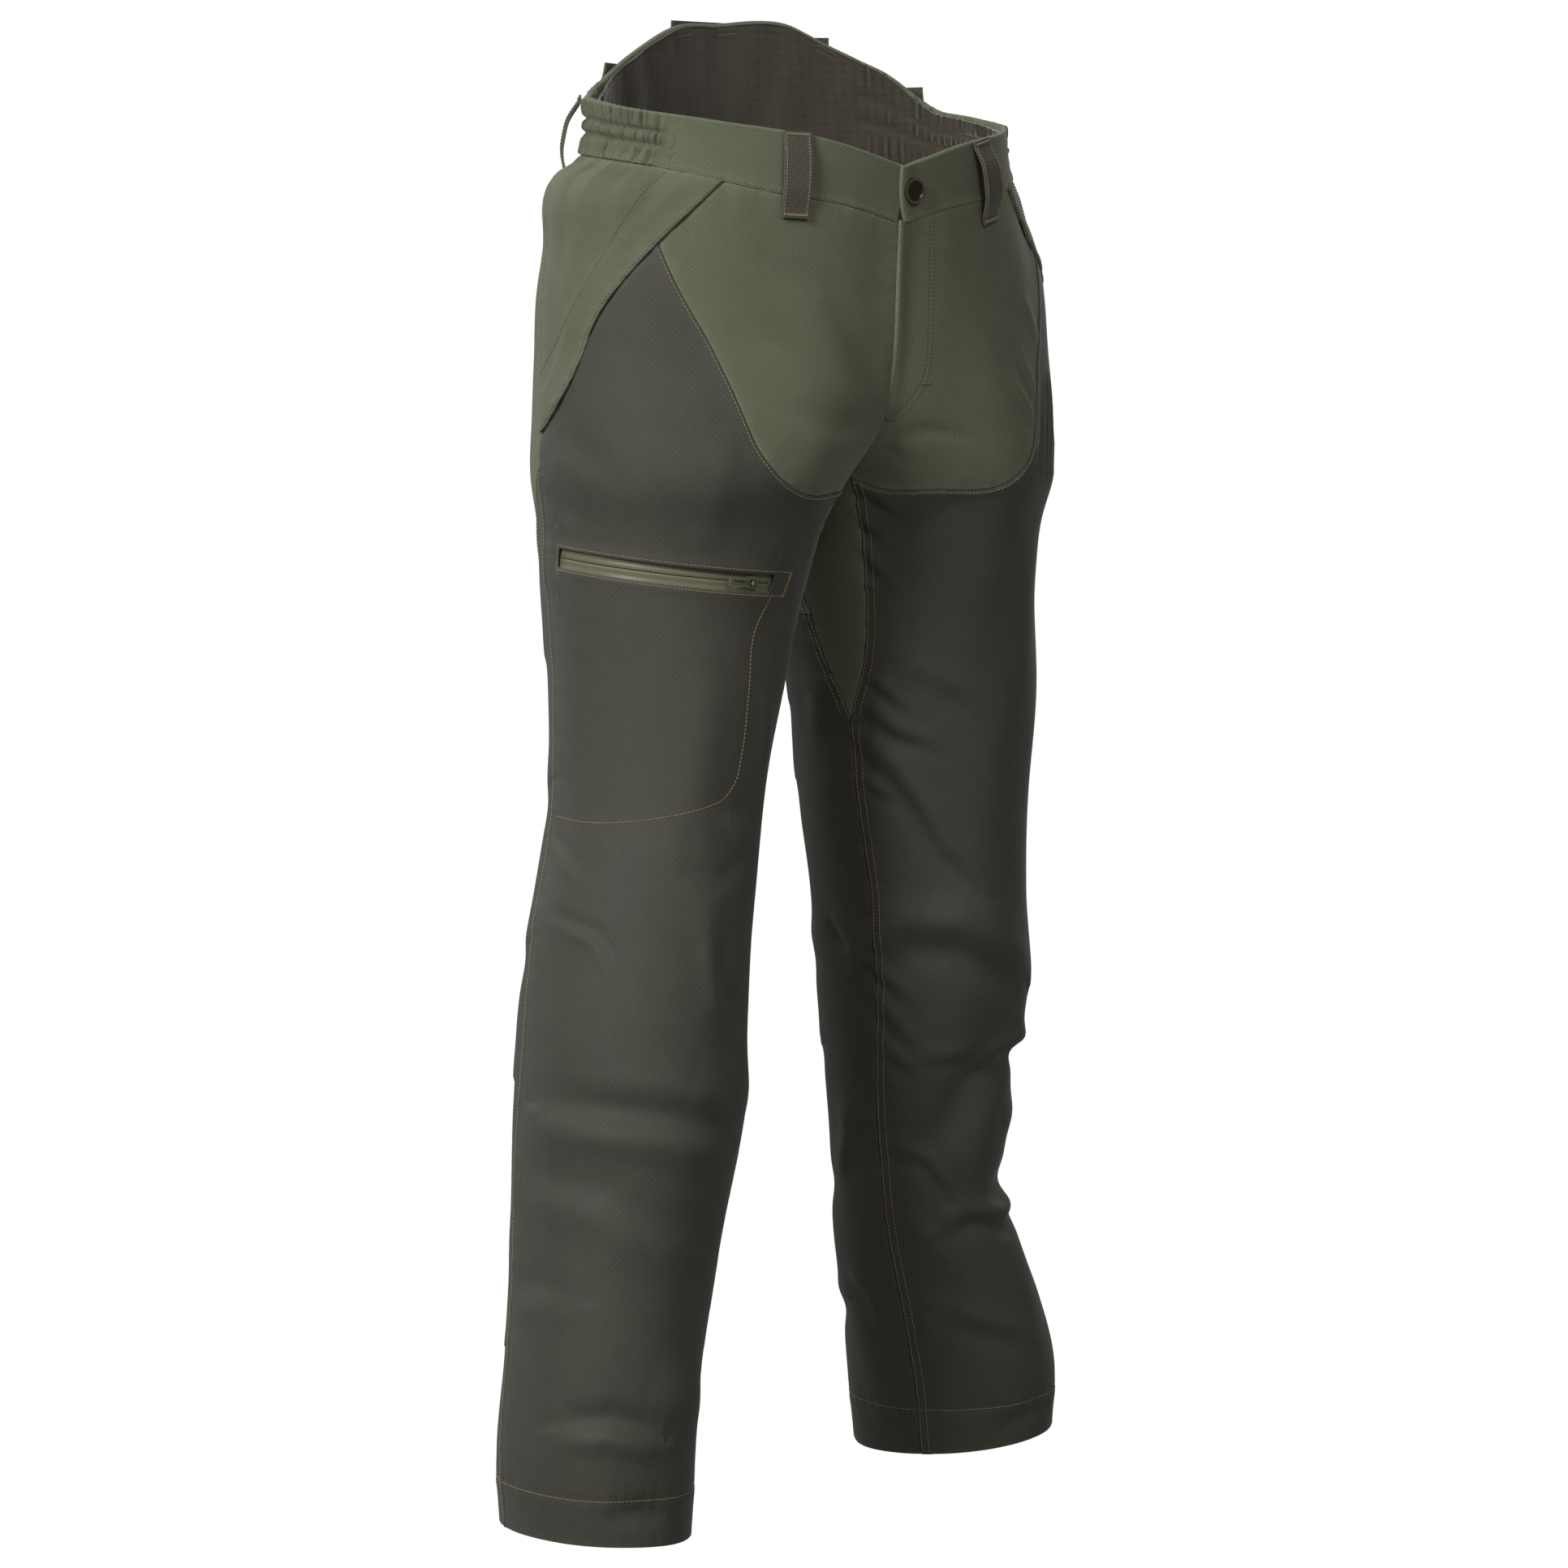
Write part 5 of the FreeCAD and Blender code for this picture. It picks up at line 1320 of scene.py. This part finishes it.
def loop_frame(half, angle, lean=0.0):
    """Foot of a loop on the cloth, and the ways along the waist, outwards and up."""
    top = float(half.band_top(angle)) + 1.5
    foot = half.base(top - LOOP_LENGTH, angle - lean)
    head = half.base(top, angle + lean)
    up = (head - foot) / np.linalg.norm(head - foot)
    along = half.base(top - 31, angle + 1) - half.base(top - 31, angle - 1)
    along = along * half.side
    out = np.cross(along, up)
    out /= np.linalg.norm(out)
    return foot, np.cross(up, out), out, up


def belt_loop(name, node_name, half, angle, width, lift, rise, twist=0.0):
    """Folded strap tacked down at both ends; rise lists (height up it, distance off the cloth)."""
    lean = 2.0 if node_name == "belt_loop_front_right" else 0.0
    foot, along, out, up = loop_frame(half, angle, lean)
    profile = through(rise)
    rows, columns = 46, 15
    z = np.linspace(0, LOOP_LENGTH, rows)
    x = np.linspace(-0.5, 0.5, columns) * width
    swing = through([(0, 0.0), (LOOP_LENGTH * 0.5, 1.0), (LOOP_LENGTH, 0.0)])
    crown = 0.35 * np.cos(np.linspace(-0.5, 0.5, columns) * math.pi * 0.96) - 0.15
    welt = 0.22 * bell(np.abs(x) - (0.5 * width - 0.9), 0.7)
    waves = 0.1 * seam_wave(z, hash_of(name))
    outer = np.zeros((rows, columns, 3))
    normals = np.zeros((rows, columns, 3))
    for j in range(rows):
        off = lift + LOOP_CLOTH + float(profile(z[j]))
        slope = float(profile(z[j] + 0.5) - profile(z[j] - 0.5))
        n = out - up * slope
        n /= np.linalg.norm(n)
        turn = twist * float(swing(z[j]))
        for i in range(columns):
            rough = crown[i] + welt[i] + waves[j] * abs(x[i]) / width
            outer[j, i] = foot + along * x[i] + up * z[j] + out * (off + turn * x[i] + rough)
            normals[j, i] = n - along * turn
    normals /= np.linalg.norm(normals, axis=-1, keepdims=True)
    flat = np.stack(np.meshgrid(x, z), axis=-1).reshape(-1, 2)
    # The strap's long edges get a painted highlight, paler towards each edge.
    wear = np.exp(-(0.5 * width - np.abs(flat[:, 0])) / 1.6)
    outer, normals = outer.reshape(-1, 3), normals.reshape(-1, 3)
    obj = closed_cloth(name, outer, outer - normals * LOOP_CLOTH, grid_quads(rows, columns), flat,
                       wear)
    finish_piece(obj, STRAP, nodes=[node_name])
    return foot, along, out, up


def hash_of(text):
    """Small fixed number for a name, as a seed."""
    return sum((k + 1) * ord(c) for k, c in enumerate(text)) % 1000


def loop_sewing(sew, name, place, width):
    """Edge stitching down both sides and a bar tack across each end."""
    foot, along, out, up = place

    def spot(x, z):
        return land(foot + along * x + up * z, out, [name], 30)
    for side in (-1, 1):
        rows = [(spot(side * (0.5 * width - 1.7), z), out)
                for z in ladder(2.5, LOOP_LENGTH - 2.5, 1.5)]
        sew.run([r for r in rows if r[0] is not None], pitch=2.5)
    for z0 in (2.2, LOOP_LENGTH - 2.4):
        for x in np.arange(-0.5 * width + 1.4, 0.5 * width - 1.3, 0.75):
            low, high = spot(x, z0 - 0.9), spot(x + 0.35, z0 + 0.9)
            if low is not None and high is not None:
                sew.stitch(low, high, out, out, rise=0.4)


FLAT_RISE = [(0, 0.2), (5, 0.3), (9, 1.0), (18, 3.0), (32, 3.8), (46, 3.0), (55, 1.0), (59, 0.3),
             (63, 0.0)]
FULL_RISE = [(0, 0.2), (5, 0.3), (9, 1.8), (18, 5.2), (32, 6.6), (46, 5.4), (55, 1.8), (59, 0.3),
             (63, 0.0)]
CENTRE_LOOP_WIDTH = 54.0


def belt_loops():
    sew = Sewing("stitching_loops")
    for half in (right, left):
        side = half.name
        front_rise = FLAT_RISE if half is right else FULL_RISE
        for label, angle, lift, rise in (("front", 28, 1.5, front_rise),
                                         ("side", 118, 3.4, FULL_RISE),
                                         ("back", 146, 0.9, FLAT_RISE)):
            name = "loop_%s_%s" % (label, side)
            twist = 0.16 if (label, side) == ("front", "left") else 0.03
            place = belt_loop(name, "belt_loop_%s_%s" % (label, side), half, angle, LOOP_WIDTH,
                              lift, rise, twist)
            loop_sewing(sew, name, place, LOOP_WIDTH)
    place = belt_loop("loop_centre_back", "belt_loop_centre_back", right, 180, CENTRE_LOOP_WIDTH,
                      0.7, FLAT_RISE)
    loop_sewing(sew, "loop_centre_back", place, CENTRE_LOOP_WIDTH)
    sew.make()


# ---------------------------------------------------------------- thigh zip
def zip_tapes():
    """Coated tapes with the coil showing through in two fine ribbed lines."""
    start, sweep = -11.0, 112.0
    count = int(sweep / 0.26)
    phi = np.linspace(start, start + sweep, count)
    rise = np.array((0.12, 0.3, 0.55, 0.9, 1.3, 1.7, 2.1, 2.5, 2.9, 3.4, 4.2, 5.2, 6.2, 7.4, 9.0,
                     11.5, 14.0))
    out = np.interp(rise, (0.12, 0.4, 0.9, 2.0, 3.0, 3.6, 5.0, 7.5, 9.0, 14.0),
                    (-0.2, 0.45, 0.7, 0.8, 0.7, 0.45, 0.5, 1.0, 1.1, 0.4))
    coil = np.interp(rise, (0.4, 0.9, 1.5, 1.9, 2.2, 2.6, 3.1, 3.5),
                     (0, 1, 1, 0.25, 0.25, 1, 0.8, 0))
    ridges = 0.16 * np.sin(np.radians(phi) * ZIP_RADIUS * 2 * math.pi / 1.35)
    grid_out = out[None] + coil[None] * ridges[:, None]
    grid_in = np.minimum(out[None] - 0.7, 0.1) + 0 * phi[:, None]
    arc = np.radians(phi) * ZIP_RADIUS
    for name, hand in (("upper", 1), ("lower", -1)):
        outer, inner = (zip_point(phi[:, None], hand * rise[None], grid).reshape(-1, 3)
                        for grid in (grid_out, grid_in))
        uv = np.stack(np.broadcast_arrays(arc[:, None], hand * rise[None]), axis=-1)
        obj = closed_cloth("thigh_tape_" + name, outer, inner, grid_quads(len(phi), len(rise)),
                           uv.reshape(-1, 2), np.zeros(len(outer)), tree=False)
        finish_piece(obj, TAPE,
                     nodes=["thigh_zip_tape_" + name, "thigh_zip_teeth_" + name])


def zip_places(phis, rise):
    """Leg heights and angles along the zip at a rise over its middle plane."""
    angles = zip_angle(phis)
    return zip_height(angles) + rise, angles


def thigh_sewing():
    sew = Sewing("stitching_thigh_pocket")
    cloth = ["front_leg_right"]
    for rise in (WINDOW_HALF + 2.0, -WINDOW_HALF - 2.0):
        h, a = zip_places(ladder(-16.5, 99, 0.8), rise)
        sew.line(right, h, a, cloth, pitch=2.7)
    edge = float(zip_angle(-16.5))
    for shift, pitch in ((0.0, 1.3), (-0.5, 1.5)):
        h = ladder(float(zip_height(edge)) - 9.5, float(zip_height(edge)) + 9.5, 0.7)
        sew.line(right, h, np.full(h.shape, edge + shift), cloth, pitch=pitch)
    h = ladder(float(zip_height(99.0)) - 9.0, float(zip_height(99.0)) + 9.0, 0.7)
    sew.line(right, h, np.full(h.shape, float(zip_angle(98.6))), cloth, pitch=1.4)
    line = [(693, -13.5), (665, -8.5), (623, -10), (576, -12), (557, -11.2), (546, -6.5),
            (539, 5), (533, 24), (529, 45), (527, 70), (528, 88), (529, 99)]
    steps = np.concatenate([[0], np.cumsum([math.hypot(q[0] - p[0], 1.75 * (q[1] - p[1]))
                                            for p, q in zip(line, line[1:])])])
    s = np.arange(0, steps[-1], 1.6)
    h = through(list(zip(steps, [p[0] for p in line])))(s)
    a = through(list(zip(steps, [p[1] for p in line])))(s)
    sew.line(right, h, a, cloth)
    sew.make()


# ---------------------------------------------------------------- fly parts, button and label
def flat_pieces():
    """Underlap behind the button and the blank label inside the back."""
    patch = Patch(right, (always(0.2), always(9.0)), (always(968.0), always(1003.0)), 24, 24)
    patch.lift = patch.lift - 2.6
    obj = cloth_piece("underlap", [patch], thickness=1.3, tree=False)
    finish_piece(obj, GREEN, nodes=["waistband_underlap"])
    patch = Patch(right, (always(174.0), always(179.95)), (always(1010.0), always(1026.5)), 30, 20)
    patch.lift = patch.lift - 8.6
    obj = cloth_piece("blank_label", [patch], thickness=0.5, tree=False)
    finish_piece(obj, LABEL, nodes=["inner_label"])


def plain_strip(name, node_name, material, wave=0.0):
    """Thin sheet that fills a flat CAD strip, with softened faces and a slight wave."""
    low, high = (np.array(c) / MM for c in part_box(node_name))
    columns, rows = 16, 60
    x = np.linspace(low[0] + 0.3, high[0] - 0.3, columns)
    z = np.linspace(low[2] + 0.3, high[2] - 0.3, rows)
    lean = (high[1] - low[1] - 0.8) / (high[2] - low[2])
    grid_x, grid_z = np.meshgrid(x, z)
    swell = wave * np.sin(grid_z / 17) * np.cos(grid_x / 9)
    front = high[1] - 0.9 - lean * (grid_z - low[2]) + swell
    outer = np.stack([grid_x, front, grid_z], axis=-1).reshape(-1, 3)
    inner = outer + np.array((0.0, 0.7, 0.0))
    uv = np.stack([grid_x, grid_z], axis=-1).reshape(-1, 2)
    obj = closed_cloth(name, outer, inner, grid_quads(rows, columns), uv, np.zeros(len(outer)),
                       tree=False)
    finish_piece(obj, material, nodes=[node_name])


def buttonhole():
    """Keyhole buttonhole worked in thread round the shank and along its slit."""
    sew = Sewing("stitching_buttonhole", THREAD_DARK)
    centre = np.array(next(j for j in frame["record"]["behaviour"]["joints"]
                           if j["name"] == "button_swivel")["pos_m"]) / MM
    outline = [(3.4 * math.cos(t), 3.4 * math.sin(t)) for t in np.radians(np.arange(35, 325, 11))]
    outline += [(x, -1.3) for x in np.arange(3.2, 15, 0.8)] + [(15.4, 0.0)]
    outline += [(x, 1.3) for x in np.arange(14.6, 3.0, -0.8)]
    for x, z in outline:
        size = math.hypot(x, z) if x < 3.2 else abs(z) or 1.0
        dx, dz = (x / size, z / size) if x < 3.2 else ((0.0, np.sign(z)) if z else (1.0, 0.0))
        ends = []
        for reach in (-0.7, 1.1):
            p = np.array((centre[0] + x + dx * reach, centre[1], centre[2] + z + dz * reach))
            ends.append(land(p, np.array((0.05, -0.998, -0.03)), ["band_front_left"], 30))
        if ends[0] is not None and ends[1] is not None:
            front = np.array((0.0, -1.0, 0.0))
            sew.stitch(ends[0], ends[1], front, front, 0.34, 0.35)
    sew.make()


CAD_FINISHES = [
    (ENAMEL, ("thigh_zip_slider", "thigh_zip_pull", "fly_zip_slider", "fly_zip_pull",
              "thigh_zip_stops", "fly_zip_bottom_stop", "fly_zip_top_stops")),
    (BRONZE, ("button_cap", "button_tack")),
    (TEETH, ("fly_zip_teeth_right", "fly_zip_teeth_left")),
]


def finish_frame():
    """Materials for the CAD nodes that stay, in their own slots."""
    for material, name in ((material, name) for material, names in CAD_FINISHES for name in names):
        obj = frame["nodes"][name]
        if not obj.data.materials:
            obj.data.materials.append(material)
        for slot in obj.material_slots:
            slot.material = material


# ---------------------------------------------------------------- making it
for half in (right, left):
    front_leg(half)
    back_leg(half)
    seat(half)
    side_hip(half)
for half in (right, left):
    front_hip(half)
gusset()
waistband()
linings()
zip_tapes()
belt_loops()
flat_pieces()
for side in ("right", "left"):
    plain_strip("fly_tape_" + side, "fly_zip_tape_" + side, TAPE_PLAIN)
plain_strip("fly_shield_cloth", "fly_shield", GREEN, 0.2)
for half in (right, left):
    leg_sewing(half)
fly_sewing()
thigh_sewing()
buttonhole()
finish_frame()


# ---------------------------------------------------------------- studio
def studio():
    scene = bpy.context.scene
    lens = bpy.data.cameras.new("camera")
    lens.lens = 114.7
    lens.sensor_width = 36.0
    lens.clip_start, lens.clip_end = 0.1, 60.0
    camera = bpy.data.objects.new("camera", lens)
    turn, away = math.radians(40), 3.8
    camera.location = (-away * math.sin(turn), 0.018 - away * math.cos(turn), -0.13)
    camera.rotation_euler = (math.radians(90 - 4.95), 0, -turn)
    scene.collection.objects.link(camera)
    scene.camera = camera

    world = bpy.data.worlds.new("studio")
    scene.world = world
    world.use_nodes = True
    tree = world.node_tree
    fill = tree.nodes["Background"]
    fill.inputs["Color"].default_value = (0.98, 0.99, 1.0, 1.0)
    fill.inputs["Strength"].default_value = 0.2
    paper = node(tree, "ShaderNodeBackground", {"Color": (1.0, 1.0, 1.0, 1.0), "Strength": 1.0})
    seen = node(tree, "ShaderNodeLightPath").outputs["Is Camera Ray"]
    both = node(tree, "ShaderNodeMixShader", {0: seen, 1: fill.outputs[0], 2: paper.outputs[0]})
    tree.links.new(both.outputs[0], tree.nodes["World Output"].inputs["Surface"])
    scene.view_settings.view_transform = "Standard"

    for name, spot, aim, size, power, tint in (
            ("key", (-3.5, -0.7, 1.6), (0, 0, -0.3), 1.3, 150, (0.97, 0.99, 1.0)),
            ("front", (-1.2, -3.6, 1.9), (0, 0, -0.2), 1.0, 52, (1.0, 0.98, 0.93)),
            ("rim", (3.0, 1.4, 1.0), (0, 0, -0.2), 1.4, 26, (1.0, 0.95, 0.86)),
            ("back", (-0.8, 3.8, 1.6), (0, 0, -0.3), 1.6, 60, (1.0, 0.98, 0.95))):
        light = bpy.data.lights.new(name, "AREA")
        light.energy, light.size, light.color = power, size, tint
        lamp = bpy.data.objects.new(name, light)
        lamp.location = spot
        way = Vector(aim) - Vector(spot)
        lamp.rotation_euler = way.to_track_quat("-Z", "Y").to_euler()
        scene.collection.objects.link(lamp)


studio()
